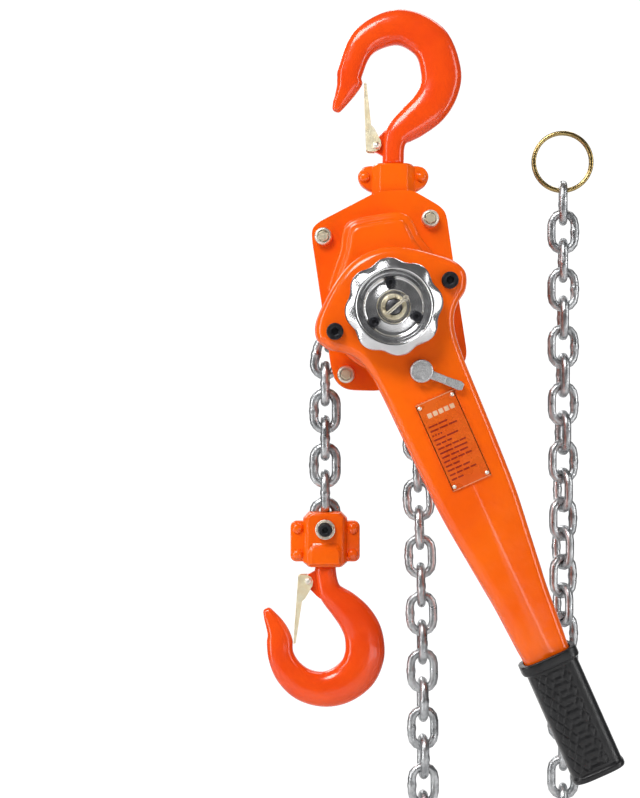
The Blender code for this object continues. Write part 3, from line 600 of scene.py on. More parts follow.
def soften(obj, width, segments=3):
    """Rounds the sharp edges of a piece, width in millimetres."""
    modifier = obj.modifiers.new("soft_edges", "BEVEL")
    modifier.width = width * MM
    modifier.segments = segments
    modifier.limit_method = "ANGLE"
    modifier.angle_limit = radians(38)
    modifier.harden_normals = True


def keep(finish, *nodes, bevel=0.0):
    """CAD nodes whose shape is right get a better material, and softer edges."""
    for name in nodes:
        node = frame["nodes"][name]
        node.data.materials.clear()
        node.data.materials.append(MATERIALS[finish])
        if bevel:
            soften(node, bevel, 2)


# ---- chain


def link_rings(sides, arc_steps, thickness):
    """One link standing along Z in the XZ plane, with the swelling of its weld on one leg."""
    arc = (LINK_WIDTH - thickness) / 2
    stations = []
    for half, bow in enumerate((LINK_REACH - arc, arc - LINK_REACH)):
        for step in range(arc_steps + 1):
            way = outwards(pi * step / arc_steps + half * pi)
            stations.append((way * arc + Vector((0, 0, bow)), way, 1.0))
        if half == 0:
            stations += [(Vector((-arc, 0, z)), Vector((-1, 0, 0)), swell) for z, swell in WELD]
    return [section(centre, way, thickness / 2 * swell, thickness / 2 * swell, sides)
            for centre, way, swell in stations]


def link(matrix, sides=14, arc_steps=9, thickness=WIRE):
    return moved(loft(link_rings(sides, arc_steps, thickness), closed=True), matrix)


def link_frame(stand_in, lean, edge_on):
    """Where a CAD link lies: its middle, its lean, and whether it is seen on edge."""
    quarter = Matrix.Rotation(radians(90 if edge_on else 0), 4, "Z")
    return placed(box_middle(stand_in), lean) @ quarter


def load_chain():
    """The links from the sheave to the bottom block, one piece each, and those on the sheave."""
    links = []
    for n in range(1, 9):
        body = "load_strand" if n < 3 else f"link_{n}"
        lean = FIRST_LEANS.get(n, 0.0)
        links.append((f"chain_link_{n}", f"load_link_{n}", lean, n % 2 == 1, body))
    for n in range(5):
        lean = 136.0 - 36.0 * n
        links.append((f"wrapped_link_{n + 1}", f"sheave_link_{n + 1}", lean, n % 2 == 0, "sheave"))
    for name, stand_in, lean, edge_on, body in links:
        matrix = link_frame(stand_in, lean, edge_on)
        piece(name, link(matrix), "chain", body, replaces=[stand_in])


def slack_route():
    """The free strand's way, in metres: out of the sheave, down, round a loop, up to the ring."""
    down = [(27.5, -300.0), (21.5, -350.0), (23.0, -420.0), (25.0, -510.0), (26.0, -610.0)]
    low_loop = [(27.0, -700.0), (33.0, -760.0), (52.0, -803.0), (86.0, -822.0), (120.0, -803.0),
                (139.5, -760.0), (145.5, -700.0)]
    up = [(146.5, z) for z in (-610.0, -510.0, -400.0, -290.0, -200.0, -129.5)]
    start = DRIVE + Vector((37.0, 0, -36.5))
    return [start * MM] + [Vector((x, 0, z)) * MM for x, z in down + low_loop + up]


def slack_distances():
    """How far along its route each free link lies, by marks of (which link, millimetres)."""
    marks = [(0, 2.2), (4, 107.8), (15, 379.0), (32, 781.6), (53, 1300.6)]
    made = []
    for (first, start), (last, end) in zip(marks, marks[1:]):
        step = (end - start) / (last - first)
        made += [start + step * (n - first) for n in range(first, last)]
    return [distance * MM for distance in [*made, marks[-1][1]]]


def slack_chain():
    """The free strand's own links, a little twisted about each other, and the ring on its end."""
    path = smooth_line(slack_route(), 6)
    path.insert(0, (DRIVE + Vector((36.8, 0, -29.5))) * MM)
    links = []
    for n, (place, way) in enumerate(walk(path, slack_distances())):
        sway = 7 * sin(n * 0.31 + 0.4)
        turn_in_loop = 26 * exp(-((n - 40) / 4) ** 2)
        twist = radians(sway + turn_in_loop + (90 if n % 2 else 0))
        standing = way.to_track_quat("Z", "Y").to_matrix().to_4x4()
        matrix = Matrix.Translation(place / MM) @ standing @ Matrix.Rotation(twist, 4, "Z")
        links.append(link(matrix, 12, 7, FREE_WIRE))
    whole = merged(*links)
    chain = piece("free_chain", whole, "chain", "slack", replaces=["slack_chain"])
    tuple(path[0])
    line_length(path)
    split_ring()
    [tuple(p) for p in path]


def split_ring():
    """A flat-wound ring of two turns, like a key ring, with the step between them."""
    middle = box_middle("end_ring")
    rings = []
    steps = 128
    for n in range(steps + 1):
        climb = -1.75 + 3.5 * min(1.0, max(0.0, (n / steps - 0.46) / 0.08))
        way = outwards(4 * pi * n / steps + radians(130))
        rings.append(section(middle + way * 24.8 + Vector((0, climb, 0)), way, 1.85, 1.65, 12))
    return piece("split_ring", loft(rings), "brass", "slack", replaces=["end_ring"])


# ---- hooks


# Stations of the forgings from shank to tip: centre x and z, half width and half thickness.
TOP_HOOK = [
    (0.9, -84.6, 9.8, 9.4), (6.0, -75.4, 12.2, 9.6), (16.4, -66.9, 14.5, 10.2),
    (30.0, -55.0, 16.3, 10.8), (39.1, -40.0, 17.0, 11.2), (41.2, -22.6, 17.4, 11.4),
    (31.2, 2.8, 16.8, 11.4), (4.0, 15.0, 15.4, 11.0), (-25.2, 2.2, 12.7, 10.0),
    (-36.8, -23.0, 11.0, 9.4), (-37.3, -31.5, 11.2, 9.0), (-39.8, -38.0, 9.4, 8.0),
    (-43.2, -45.0, 7.4, 6.6), (-46.8, -51.6, 5.6, 5.2), (-48.2, -54.8, 4.4, 4.2),
]
BOTTOM_HOOK = [
    (1.4, -80.0, 9.2, 9.3), (3.6, -71.5, 10.0, 9.5), (7.9, -65.6, 11.2, 9.8),
    (15.5, -58.8, 13.2, 10.2), (24.6, -49.0, 15.0, 10.8), (31.4, -37.6, 16.2, 11.2),
    (34.2, -25.0, 16.9, 11.4), (33.5, -13.0, 17.2, 11.5), (27.2, 0.4, 17.0, 11.4),
    (13.2, 10.8, 16.2, 11.2), (-2.7, 14.1, 15.0, 11.0), (-19.2, 9.7, 14.0, 10.6),
    (-31.6, -1.2, 12.6, 10.0), (-38.0, -14.6, 11.3, 9.4), (-39.2, -27.0, 11.3, 9.0),
    (-40.6, -35.0, 9.5, 8.2), (-44.0, -42.6, 7.7, 6.8), (-47.6, -49.0, 5.7, 5.4),
    (-49.4, -52.6, 4.3, 4.1),
]


def forged_section(centre, way, wide, deep):
    """Across the forging: fuller than an ellipse at its corners."""
    across = Vector((way[1], 0, -way[0]))
    return section(Vector((centre[0], 0, centre[1])), across, wide, deep, 40, 0.82)


def hook_body(shank_end, stations):
    """The forging: its neck in the yoke, then its stations, then a rounded tip."""
    line = smooth_line([(0.0, shank_end, 9.3, 9.3), *stations], HOOK_STEPS)
    neck = ((shank_end - 9.0, 6.5), (shank_end - 2.2, 6.5), (shank_end - 1.2, 8.6))
    rings = [forged_section((0.0, z), (0.0, 1.0), radius, radius) for z, radius in neck]
    for n, (x, z, wide, deep) in enumerate(line):
        before = line[max(n - HOOK_STEPS, 0)]
        after = line[min(n + HOOK_STEPS, len(line) - 1)]
        way = Vector((after[0] - before[0], after[1] - before[1])).normalized()
        rings.append(forged_section((x, z), way, wide, deep))
    for ahead, share in ((1.5, 0.88), (2.7, 0.64), (3.3, 0.34)):
        centre = Vector((x, z)) + way * ahead
        rings.append(forged_section(centre, way, wide * share, deep * share))
    return loft(rings)


def hook(name, shank_end, stations, rise, matrix):
    """The painted forging, with the lug that its latch turns on."""
    lug = [(-2.0, -72.0), (-13.0, -80.0), (-17.6, -83.8), (-19.2, -87.6), (-17.6, -91.4),
           (-13.5, -93.6), (-2.0, -97.0)]
    lug = smooth_outline([(x, z + rise) for x, z in lug], 4)
    parts = merged(hook_body(shank_end, stations), prism(lug, -3.0, 3.0))
    piece(name + "_forging", parts, "hook", name, matrix, [name], bevel=0.8)


def latch(name, body, rise, lean, matrix):
    """The latch: a channel of sheet steel folded over the lug, its pin and its wire spring."""
    back = [(-25.0, -33.5), (-24.6, -52.0), (-23.8, -72.0), (-23.2, -91.5),
            (-22.0, -91.5), (-22.6, -72.0), (-23.4, -52.0), (-23.8, -33.5)]
    flange = [(-24.6, -33.7), (-24.2, -52.0), (-23.4, -72.0), (-22.8, -91.8), (-21.0, -92.7),
              (-15.3, -92.8), (-11.8, -90.8), (-10.2, -87.4), (-10.6, -83.4), (-16.4, -72.4),
              (-19.0, -70.0), (-21.0, -52.0), (-23.0, -34.2)]
    back, flange = ([(x - lean * max(0.0, z + 92.0) / 58.0, z) for x, z in outline]
                    for outline in (back, flange))
    sheet = merged(prism(back, -5.9, 5.9), prism(flange, 4.7, 5.9), prism(flange, -5.9, -4.7))
    lifted = matrix @ Matrix.Translation((0, 0, rise))
    piece(name + "_channel", sheet, "latch", body, lifted, [name], bevel=0.35)
    head = [(0.3, -8.0), (1.6, -7.8), (2.7, -7.1), (3.3, -6.0), (1.6, -6.0)]
    pin = turned(head + [(radius, -y) for radius, y in reversed(head)], 24)
    at_pin = matrix @ Matrix.Translation((-14.5, 0, -87.5 + rise))
    piece(name + "_rivet", pin, "nut", body, at_pin)
    coil = []
    steps, turns = 72, 3
    for n in range(steps + 1):
        way = outwards(2 * pi * turns * n / steps)
        coil.append(section(way * 2.9 + Vector((0, 0.5 * n / steps - 3.4, 0)), way, 0.35, 0.35, 6))
    piece(name + "_spring", loft(coil), "steel", body, at_pin)


def rivet_head(x, z, face):
    """A round rivet head standing on a face at y = face, on the side that face points to."""
    radius, tall = 4.7, 3.0
    way = 1 if face > 0 else -1
    angles = [pi / 2 * (n + 0.4) / 6.4 for n in range(7)]
    profile = [(radius * sin(a), face + way * tall * cos(a)) for a in angles]
    dome = turned([*profile, (radius, face - way * 0.6)], 28)
    return moved(dome, Matrix.Translation((x, 0, z)))


def yoke(name, stand_in, at, box, narrow, ears, foot, rivets, ridge=None):
    """Two pressed halves with slanted side facets, riveted through their ears."""
    for side, way in (("front", -1), ("rear", 1)):
        block = layered((box, way * 0.2), (box, way * 6.4), (narrow, way * 13.1),
                        (inset(narrow, 0.9), way * 14.0))
        ear = layered((ears, way * 0.2), (ears, way * 4.6), (inset(ears, 0.5), way * 5.8),
                      (inset(ears, 1.5), way * 6.2))
        parts = [block, ear, prism(foot, way * 0.2, way * 11.0)]
        if ridge:
            parts.append(ridge(way))
        shell = merged(*parts)
        painted(f"{name}_{side}_shell", shell, name, placed(at), [f"{stand_in}_{side}"], 1.0)
        heads = merged(*(rivet_head(x, z, way * 6.2) for x, z in rivets))
        painted(f"{name}_{side}_rivets", heads, name, placed(at))


def hooks():
    upright = Matrix.Identity(4)
    hook("top_hook", TOP_SHANK_END, TOP_HOOK, 0.0, upright)
    latch("top_hook_latch", "top_latch", 0.0, 0.0, upright)
    below = Matrix.Translation(BOTTOM_SADDLE) @ UPSIDE_DOWN
    hook("bottom_hook", BOTTOM_SHANK_END, BOTTOM_HOOK, BOTTOM_LUG_RISE, below)
    latch("bottom_hook_latch", "bottom_latch", BOTTOM_LUG_RISE, BOTTOM_LATCH_LEAN, below)


def mirrored(half, joined=False):
    """An outline from its right half, from the bottom up. A joined half ends on the middle line."""
    return half + [(-x, z) for x, z in reversed(half[:-1] if joined else half)]


def top_yoke():
    top = -103.4 - TOP_PIN.z
    box = mirrored([(18.6, -2.0), (18.6, top - 3.0), (15.6, top)])
    narrow = mirrored([(12.4, -2.0), (12.4, top - 1.2), (11.2, top)])
    half = [(20.0, 11.5), (27.5, 16.5), (30.3, 22.0), (30.3, 27.0), (26.5, 32.2), (21.0, top - 1.5)]
    ears = rounded(mirrored(half), 3.0, 4)
    foot = rounded_box(-11.5, 11.5, -12.0, 5.0, 8.0)
    rivets = [(-24.6, 23.8), (24.0, 24.0)]
    yoke("top_yoke", "top_yoke", TOP_PIN, box, narrow, ears, foot, rivets)


def bottom_yoke():
    top = -401.7 - ANCHOR.z
    bottom = -449.2 - ANCHOR.z

    def ridge(way):
        """The thicker wall round the hook's head, with a sloping upper edge."""
        foot = mirrored([(14.6, bottom + 2.0), (14.6, -17.0), (11.0, -11.0)])
        crown = mirrored([(11.8, bottom + 3.2), (11.8, -19.6), (9.4, -15.6)])
        return layered((foot, way * 13.4), (crown, way * 16.4))

    box = mirrored([(14.5, bottom), (19.0, bottom + 4.0), (19.0, top - 5.5), (13.6, top)])
    half = [(13.0, bottom + 0.6), (15.6, bottom + 3.4), (15.6, top - 5.0), (11.6, top - 1.4)]
    ears = rounded_box(-29.8, 29.8, -28.2, 6.7, 5.0)
    foot = rounded_box(-14.0, 14.0, bottom, bottom + 10.0, 2.0)
    rivets = [(x, z) for x in (-23.6, 23.6) for z in (0.4, -22.0)]
    yoke("block", "bottom_yoke", ANCHOR, box, mirrored(half), ears, foot, rivets, ridge)


def hexagon(radius, turn=0.0):
    return circle(radius, 6, start=turn)


def socket_head(radius, face, tall, key, matrix):
    """A screw head towards -Y with a hexagon socket, as one closed shell."""
    count = 24
    full, six = circle(radius, count), evened(hexagon(key), count)
    top = face - tall
    head = layered((full, face), (full, top + 0.6), (circle(radius - 0.7, count), top),
                   (circle(key * 1.12, count), top), (six, top + 0.3), (six, face - tall * 0.35))
    return moved(head, matrix)


def nut(face, tall, flats, bore, matrix):
    """A hexagon nut with chamfered corners on a face, standing to the side of tall."""
    way = 1 if tall > 0 else -1
    top = face + tall
    count, start = 36, 0.2
    body = evened(hexagon(flats / 2 / cos(pi / 6), start), count)
    most = flats / 2 + 0.1
    soft = [tuple(p.normalized() * min(p.length, most)) for p in map(Vector, body)]
    inner = circle(bore, count, start=start)
    lip = circle(bore + 0.4, count, start=start)
    made = layered((inner, face), (body, face), (body, top - way * 0.9), (soft, top), (lip, top),
                   (inner, top - way * 0.4), closed=True)
    return moved(made, matrix)


def washer(face, thick, outer, bore, matrix):
    """A flat ring on a face, a little worn at its outer edge, to the side of thick."""
    top = face + thick
    profile = [(bore, face), (outer, face), (outer, face + thick * 0.7), (outer - 0.4, top),
               (bore, top)]
    return moved(turned(profile, 40, closed=True), matrix)


def anchor_bolt():
    matrix = placed(ANCHOR)
    head = socket_head(5.6, -18.2, 5.2, 2.9, matrix)
    piece("anchor_bolt_head", head, "black", "block",
          replaces=["chain_anchor_bolt"], bevel=0.2)
    plate = washer(-15.9, -1.1, 8.6, 4.2, matrix)
    front = nut(-16.8, -1.6, 13.6, 5.7, matrix)
    rear = nut(16.2, 5.0, 13.0, 4.0, matrix)
    fittings = merged(plate, front, rear)
    piece("anchor_bolt_washers", fittings, "nut", "block", bevel=0.2)
    shank = moved(turned([(3.9, -18.2), (3.9, 20.5), (3.2, 21.4)], 24), matrix)
    piece("anchor_bolt_shank", shank, "dark", "block")


# ---- housing


def rounded(outline, reach, steps=5):
    """The outline with its corners rounded, each over at most the given reach."""
    made = []
    count = len(outline)
    for n in range(count):
        before, here, after = (Vector(outline[(n + k) % count]) for k in (-1, 0, 1))
        one, two = (here + (to - here).normalized() * min(reach, 0.45 * (to - here).length)
                    for to in (before, after))
        for k in range(steps + 1):
            t = k / steps
            made.append(tuple(one * (1 - t) ** 2 + here * 2 * t * (1 - t) + two * t**2))
    return made


def fillet(depth, height, start, way, steps=5):
    """A convex quarter round: (inset, y) pairs from a wall at the given inset and y."""
    angles = [pi / 2 * k / steps for k in range(steps + 1)]
    return [(start[0] + depth * (1 - cos(a)), start[1] + way * height * sin(a)) for a in angles]


def hole_ring(outline, radius):
    """A round hole's edge with one point for each point of the outline."""
    return [(x / hypot(x, z) * radius, z / hypot(x, z) * radius) for x, z in outline]


def pressed(outline, profile, bore, thick, rim, shrink=inset):
    """A pressed shell with a round hole. The profile of its outside is (inset, y) pairs."""
    face = profile[-1][1]
    way = 1 if face > rim else -1
    edge = hole_ring(outline, bore)
    layers = [(shrink(outline, depth), y) for depth, y in profile]
    layers += [(edge, face), (edge, face - way * thick)]
    inner = [(depth + thick, y - way * thick) for depth, y in reversed(profile)]
    layers += [(shrink(outline, depth), y) for depth, y in inner if (y - rim) * way > 0.5]
    layers.append((shrink(outline, thick), rim))
    return layered(*layers, closed=True)


def painted(name, bm, body, matrix, nodes=(), bevel=0.0):
    piece(name, bm, "body", body, matrix, nodes, bevel)


def side_plates():
    outline = [
        (59.0, -3.0), (60.5, 74.0), (56.5, 81.0), (39.0, 95.5), (33.0, 99.0), (9.0, 102.0),
        (2.0, 101.0), (-50.0, 84.0), (-55.5, 78.0), (-57.5, -44.0), (-54.0, -54.0),
        (-46.0, -60.5), (-20.0, -65.5), (46.0, -60.5), (55.0, -54.0), (58.5, -46.0),
    ]
    fine = rounded(outline, 7.0)
    hole = hole_ring(fine, 15.3)
    for node, way in (("side_plate_front", -1), ("side_plate_rear", 1)):
        one, other = way * PLATE_INSIDE, way * PLATE_OUTSIDE
        plate = layered((hole, one), (fine, one), (fine, other), (hole, other), closed=True)
        painted(node + "_pressing", plate, "housing", HOUSING, [node], 0.9)


def stays():
    """A nut on a collar at each end of a stay, and the stud's end inside it."""
    collar = [(4.2, 0.0), (7.4, 0.0), (7.5, 1.0), (7.5, 4.2), (7.3, 5.2), (6.7, 6.0), (5.9, 6.4),
              (5.2, 6.3), (4.9, 5.6), (4.9, 4.9), (4.2, 4.9)]
    places = [(x, z) for z in (71.7, -47.0) for x in (-46.0, 46.0)]
    for n, (x, z) in enumerate(places):
        at = HOUSING @ Matrix.Translation((x, 0, z))
        collars = []
        studs = [turned([(4.4, -15.6), (4.4, 15.6)], 24)]
        for way in (-1, 1):
            face = way * (PLATE_OUTSIDE + 0.1)
            collars.append(turned([(r, face + way * y) for r, y in collar], 40, closed=True))
            studs.append(prism(hexagon(4.6, 0.3 + n), way * 25.0, way * 28.0))
        piece(f"stay_{n + 1}_nuts", merged(*collars), "nut", "housing", at)
        piece(f"stay_{n + 1}_studs", merged(*studs), "stud", "housing", at,
              [f"stay_bolt_{n + 1}"], bevel=0.4)


def brake_cover_outline():
    """A round cover that narrows at the waist and widens to a shoulder under the top yoke."""
    shoulder = [(53.2, 10.0), (50.0, 26.0), (42.0, 43.0), (34.5, 57.0), (31.3, 67.0), (27.6, 75.6),
                (20.0, 80.4), (10.0, 81.4), (0.0, 81.5), (-10.0, 81.4)]
    right = [tuple(p) for p in smooth_line(shoulder, 5)[5:-5]]
    angles = [radians(156 + (384 - 156) * n / 60) for n in range(61)]
    return mirrored(right, joined=True) + [(53.5 * cos(a), 53.5 * sin(a)) for a in angles]


def covers():
    brake_cover()
    gear_cover(GEAR_COVER_FACE)


def brake_cover():
    outline = evened(brake_cover_outline(), 240)
    rim = -COVER_RIM
    profile = [(0.0, rim), (0.0, rim - 11.7), *fillet(3.6, 3.6, (0.0, rim - 13.2), -1),
               (5.0, rim - 17.1), (5.8, rim - 17.7), (6.2, rim - 18.7),
               *fillet(4.0, 4.4, (6.5, 4.4 - BRAKE_COVER_FACE), -1), (11.5, -BRAKE_COVER_FACE)]
    cover = pressed(outline, profile, 17.0, 1.2, rim, even_inset)
    painted("brake_cover_pressing", cover, "housing", HOUSING, ["brake_cover"])


def gear_cover(face):
    """A round pressing, closed at its middle, with three nuts on studs in its broad groove."""
    inside = [(8.0, face - 2.6), (34.0, face - 2.4), (38.5, face - 4.0), (45.0, face - 4.8),
              (51.8, face - 10.0), (51.8, COVER_RIM)]
    outside = [(54.0, COVER_RIM), (54.0, face - 8.0)]
    outside += [(54.0 - depth, y) for depth, y in fillet(7.0, 5.6, (0.0, face - 8.0), 1)]
    outside += [(46.0, face - 2.3), (39.0, face - 1.9), (37.0, face - 1.5), (35.0, face - 0.3),
                (33.0, face), (17.0, face), (15.4, face - 0.4), (14.4, face - 1.4),
                (8.0, face - 1.4)]
    cover = turned(inside + outside, 96)
    painted("gear_cover_pressing", cover, "housing", HOUSING, ["gear_cover"])
    stud = [(0.3, face - 4.0), (2.4, face - 4.0), (2.4, face + 1.6), (1.9, face + 2.1),
            (0.3, face + 2.1)]
    nuts = []
    for n in range(3):
        at = off_axis(42.5, 30 + 120 * n)
        nuts += [nut(face - 2.4, 3.2, 8.0, 2.5, at), moved(turned(stud, 20), at)]
    piece("gear_cover_nuts", merged(*nuts), "nut", "housing", HOUSING, bevel=0.2)


def off_axis(radius, degrees):
    """A place at a distance from the Y axis, turned anticlockwise from its right."""
    return Matrix.Translation(outwards(radians(degrees)) * radius)


# ---- drive


def lobed(radius, depth, y, count=144):
    """A ring of eight soft lobes."""
    ring = []
    for n in range(count):
        angle = 2 * pi * n / count
        swing = cos(8 * angle + 0.14)
        reach = radius + depth * (swing - 0.25 * swing * swing + 0.12)
        ring.append((reach * cos(angle), y, reach * sin(angle)))
    return ring


def handwheel():
    """The casting, from its back over its lobed rim and down to its hub, and three screws."""
    rim = [
        (30.0, 0.0, -78.3), (36.4, 0.9, -78.8), (38.0, 1.2, -80.2), (38.8, 1.5, -82.6),
        (38.9, 1.6, -90.6), (38.6, 1.6, -91.8), (37.8, 1.5, -92.8), (36.0, 1.2, -94.1),
        (34.2, 0.7, -95.3), (32.6, 0.2, -96.3),
    ]
    hub = [
        (31.4, -97.0), (30.6, -96.8), (30.0, -95.8), (29.2, -92.0), (28.2, -89.0), (27.2, -88.0),
        (26.4, -88.2), (25.8, -88.8), (25.0, -88.8), (24.4, -87.8), (23.8, -86.2), (22.8, -85.6),
        (20.0, -86.0), (17.0, -86.8), (15.2, -87.4), (14.2, -87.8), (13.6, -87.6), (13.2, -86.6),
        (12.9, -83.4), (6.6, -83.2), (6.6, -78.3),
    ]
    rings = [lobed(*station) for station in rim] + [lobed(radius, 0.0, y) for radius, y in hub]
    wheel = loft(rings, closed=True)
    piece("handwheel_casting", wheel, "wheel", "drive", HOUSING, ["handwheel"],
          sharp=50)
    for n in range(1, 4):
        head = socket_head(4.3, -87.0, 3.6, 2.1, HOUSING @ off_axis(20.2, 120 * n - 32))
        piece(f"wheel_screw_{n}", head, "black", "drive",
              replaces=[f"handwheel_screw_{n}"], bevel=0.25)


def castle_nut():
    """A round nut with six slots across its crown, deep in the wheel's hub."""
    body = [(6.8, -83.4), (10.2, -83.4), (10.6, -84.0), (10.6, -87.6), (10.0, -88.0), (6.8, -88.0)]
    parts = [turned(body, 48, closed=True)]
    for n in range(6):
        angles = [2 * pi * n / 6 + 0.25 + 0.66 * k / 6 for k in range(7)]
        tooth = [(10.1 * cos(a), 10.1 * sin(a)) for a in angles]
        tooth += [(7.3 * cos(a), 7.3 * sin(a)) for a in reversed(angles)]
        parts.append(prism(tooth, -87.4, -91.4))
    piece("castle_nut_crown", merged(*parts), "stud", "drive", HOUSING,
          ["castle_nut"], bevel=0.3)
    thread = []
    for n in range(16):
        thread += [(6.3, -83.0 - 0.45 * n), (5.8, -83.22 - 0.45 * n)]
    shaft = turned([*thread, (5.2, -90.3), (0.4, -90.3)], 40)
    piece("shaft_thread", shaft, "dark", "drive", HOUSING)


def cotter_pin():
    """A split pin: two half-round legs side by side, with an eye at one end."""
    lying = HOUSING @ Matrix.Translation((2.4, -93.4, 0.4)) @ Matrix.Rotation(-radians(31), 4, "Y")
    leg = [(6.8, 0.75), (8.4, 1.5), (10.2, 1.5)]
    line = [(-11.5, 0.75), *leg, (11.3, 0.0), *((x, -z) for x, z in reversed(leg)), (-10.6, -0.75)]
    line = smooth_line(line, 4)
    rings = []
    for n, (x, z) in enumerate(line):
        way = (line[min(n + 1, len(line) - 1)] - line[max(n - 1, 0)]).normalized()
        rings.append(section(Vector((x, 0, z)), Vector((-way.y, 0, way.x)), 0.72, 1.3, 10))
    piece("split_pin", loft(rings), "nut", "drive", lying, ["cotter_pin"])


# ---- lever


def lever_outline():
    """Anticlockwise outline of the lever: a lobed head, a broad neck and a long taper."""
    half = [
        (17.0, -405.0), (19.4, -318.0), (20.6, -300.0), (23.2, -262.0), (25.4, -242.0),
        (28.4, -215.0), (32.4, -178.0), (34.3, -140.0), (35.6, -103.0), (36.8, -62.0),
        (39.0, -40.0), (44.0, -26.0), (52.0, -17.0), (61.0, -10.5), (66.4, -1.0), (66.4, 7.0),
        (61.0, 16.5), (48.0, 28.5), (34.0, 39.0), (18.0, 47.5), (0.0, 50.5), (-18.0, 47.5),
    ]
    return mirrored([tuple(p) for p in smooth_line(half, 5)[:-5]], joined=True)


def lever_shells():
    """Two pressed halves with broad round shoulders. The rear one has a lip at the joint."""
    outline = lever_outline()
    front_rim = LEVER_SPLIT - 0.15
    profile = [(0.7, front_rim), (0.25, front_rim - 0.6), (0.25, LEVER_FACE + 8.0),
               *fillet(8.0, 7.6, (0.3, LEVER_FACE + 7.9), -1, 8), (9.4, LEVER_FACE)]
    front = pressed(outline, profile, 24.5, 2.2, front_rim)
    painted("lever_front_pressing", front, "lever", LEVER, ["lever_front_shell"])
    rear_rim = LEVER_SPLIT + 0.15
    profile = [(0.0, rear_rim), (-0.4, rear_rim + 0.5), (-0.4, rear_rim + 1.7),
               (0.6, rear_rim + 2.6), *fillet(6.0, 5.5, (0.6, LEVER_BACK - 5.6), 1, 7),
               (7.4, LEVER_BACK)]
    rear = pressed(outline, profile, 27.5, 2.2, rear_rim)
    painted("lever_rear_pressing", rear, "lever", LEVER, ["lever_rear_shell"])


def lever_bolts():
    low, high = LEVER_FACE, LEVER_BACK
    for n, side in ((1, -1), (2, 1)):
        at = LEVER @ Matrix.Translation((side * LEVER_BOLT[0], 0, LEVER_BOLT[1]))
        head = socket_head(7.0, low - 0.3, 5.7, 3.5, at)
        shank = moved(turned([(3.8, low + 1.0), (3.8, high + 0.9), (3.2, high + 1.5)], 20), at)
        bolt = merged(head, shank, nut(high + 0.3, 1.1, 12.0, 3.8, at))
        piece(f"lever_bolt_{n}_head", bolt, "black", "lever",
              replaces=[f"lever_bolt_{n}"], bevel=0.3)


def name_plate():
    """A riveted foil plate. Its print is plain bars: a pale heading and rows of dark lines."""
    face = LEVER_FACE - 0.3
    low, high = -158.5, -80.5
    left, right = -17.0, 18.5

    def bar(x0, x1, z0, z1):
        corner = min(0.45, (z1 - z0) / 2.2)
        return prism(rounded_box(x0, x1, z0, z1, corner, 2), face - 0.5, face - 0.78)

    def layer(name, bars, finish):
        piece("name_plate_" + name, merged(*bars), finish, "lever", LEVER)

    sheet = prism(rounded_box(left, right, low, high, 1.5), face, face - 0.7)
    piece("name_plate_foil", sheet, "plate", "lever", LEVER, ["name_plate"],
          bevel=0.15)
    edge = 0.35
    border = [bar(left + 0.8, right - 0.8, z, z + edge) for z in (low + 0.9, high - 0.9 - edge)]
    border += [bar(x, x + edge, low + 1.2, high - 1.2) for x in (left + 0.8, right - 0.8 - edge)]
    layer("border", border, "pale")
    starts = [left + 6.5 + 5.0 * n for n in range(5)]
    layer("heading", [bar(x, x + 3.8, high - 14.6, high - 10.6) for x in starts], "pale")
    lines = []
    shares = (0.62, 0.86, 0.34, 0.78, 0.52, 0.90, 0.88, 0.84, 0.90, 0.46, 0.72, 0.86, 0.40)
    start = left + 3.4
    for n, share in enumerate(shares):
        z = high - 22.0 - 3.9 * n
        words = 2 + n % 3
        word = (right - 3.4 - start) * share / words
        for k in range(words):
            lines.append(bar(start + word * k, start + word * (k + 1) - 0.9, z, z + 1.35))
    layer("lines", lines, "print")
    dome = [(0.2, face - 1.9), (0.9, face - 1.75), (1.5, face - 1.35), (1.8, face - 0.7),
            (1.8, face - 0.4)]
    corners = [(x, z) for x in (left + 3.2, right - 3.2) for z in (low + 4.0, high - 4.0)]
    rivets = [moved(turned(dome, 20), Matrix.Translation((x, 0, z))) for x, z in corners]
    layer("rivets", rivets, "nut")


def oval(wide, deep, z, count):
    """A ring of the grip, nearer a rectangle than an ellipse."""
    middle = Vector((0, (LEVER_BACK + LEVER_FACE) / 2, z))
    return section(middle, Vector((1, 0, 0)), wide, deep, count, 2 / 3.6, pi / count)


def knurl(x, z):
    """How deep the diamond grooves are at a point of the grip's skin, from 0 to 1."""
    depth = 0.0
    for turn in (radians(58), -radians(58)):
        wave = (x * sin(turn) + z * cos(turn)) / KNURL_PITCH
        groove = abs(wave - round(wave)) * KNURL_PITCH
        depth = max(depth, 1.0 - groove / KNURL_HALF_WIDTH)
    return depth


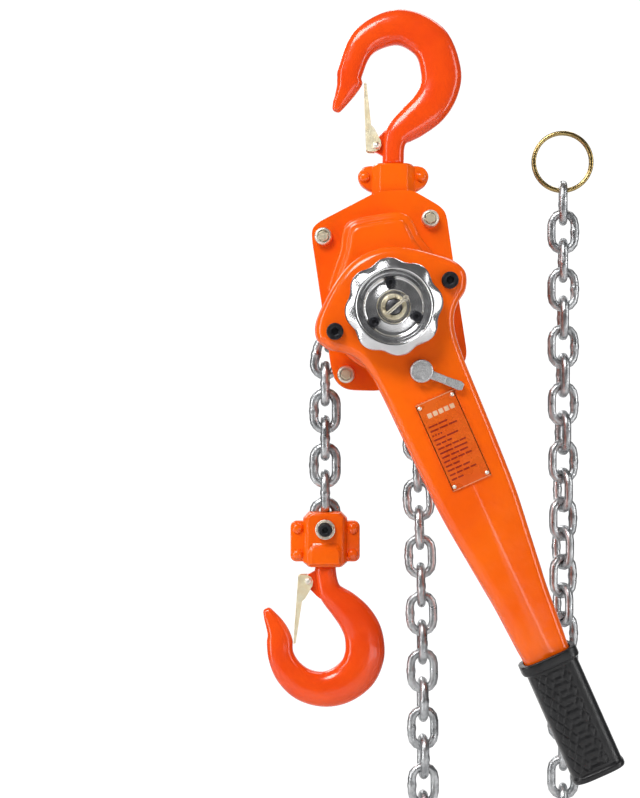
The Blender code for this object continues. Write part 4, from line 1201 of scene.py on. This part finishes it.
def grip():
    """A moulded sleeve: a smooth collar, a knurled middle with plain edges, and a round end."""
    count, rows = 216, 150
    middle = (LEVER_BACK + LEVER_FACE) / 2
    collar = [(20.4, 16.6, -4.0), (20.8, 16.8, 0.0), (24.4, 19.8, 0.0), (24.9, 20.1, -0.5),
              (25.0, 20.2, -2.0), (25.0, 20.2, -7.4), (24.6, 19.9, -8.4), (23.0, 18.8, -8.8),
              (22.2, 18.3, -9.6)]
    tail = [(21.9, 18.1, 8.0), (21.9, 18.1, 5.6), (22.6, 18.7, 5.0), (22.9, 19.0, 4.0),
            (22.8, 18.9, 1.8), (22.2, 18.4, 0.5), (20.6, 17.0, 0.0)]
    rings = [oval(wide, deep, GRIP_TOP + z, count) for wide, deep, z in collar]
    top, bottom = GRIP_TOP - 10.5, GRIP_END + 8.5
    for row in range(rows + 1):
        z = top + (bottom - top) * row / rows
        fade = min(1.0, (top - z) / 1.2, (z - bottom) / 1.2)
        ring = []
        for x, y, height in oval(22.0, 18.2, z, count):
            around = x if y < middle else -x
            side = max(0.0, min(1.0, (around + 19.6) / 1.2, (11.0 - around) / 1.2))
            depth = KNURL_DEPTH * knurl(around, z - bottom) * fade * side
            ring.append((x, y + (depth if y < middle else -depth), height))
        rings.append(ring)
    rings += [oval(wide, deep, GRIP_END + z, count) for wide, deep, z in tail]
    piece("grip_sleeve", loft(rings), "grip", "lever", LEVER, ["grip"], sharp=60)


def selector():
    """A cast disc with a pointer that steps down to a thicker tip."""
    at = LEVER @ placed((0, 0, -SELECTOR_DROP), SELECTOR_TURN)
    face = LEVER_FACE
    disc = [(4.0, face + 2.0), (9.4, face - 0.6), (9.5, face - 1.4), (9.5, face - 6.6),
            (9.2, face - 7.4), (8.5, face - 7.9), (7.4, face - 8.0), (0.3, face - 8.0)]
    arm = [(-3.9, -2.0), (-3.4, -12.0), (-3.2, -21.0), (3.2, -21.0), (3.4, -12.0), (3.9, -2.0)]
    tip = [(-3.2, -19.5), (-3.8, -33.5), (-2.6, -36.3), (2.6, -36.3), (3.8, -33.5), (3.2, -19.5)]
    parts = merged(turned(disc, 64), prism(arm, face - 2.6, face - 7.2),
                   prism(tip, face - 1.8, face - 6.0))
    piece("selector_casting", parts, "knob", "selector", at, ["selector_knob"],
          bevel=0.6)


# ---- assembly


MATERIALS = make_materials()
camera()
slack_chain()
load_chain()
hooks()
top_yoke()
bottom_yoke()
anchor_bolt()
side_plates()
stays()
covers()
handwheel()
castle_nut()
cotter_pin()
lever_shells()
lever_bolts()
name_plate()
grip()
selector()
keep("dark", "chain_guide", "top_pin", "drive_shaft", bevel=0.3)
keep("steel", "load_sheave", "load_gear", "intermediate_gear_1", "intermediate_gear_2",
     "friction_hub", "ratchet_disc", "change_gear", "brake_pawl_1", "brake_pawl_2", "selector_pawl")
keep("lining", "friction_disc_1", "friction_disc_2")
studio()
backdrop()
[[list(corner) for corner in box] for box in (cad_box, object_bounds())]
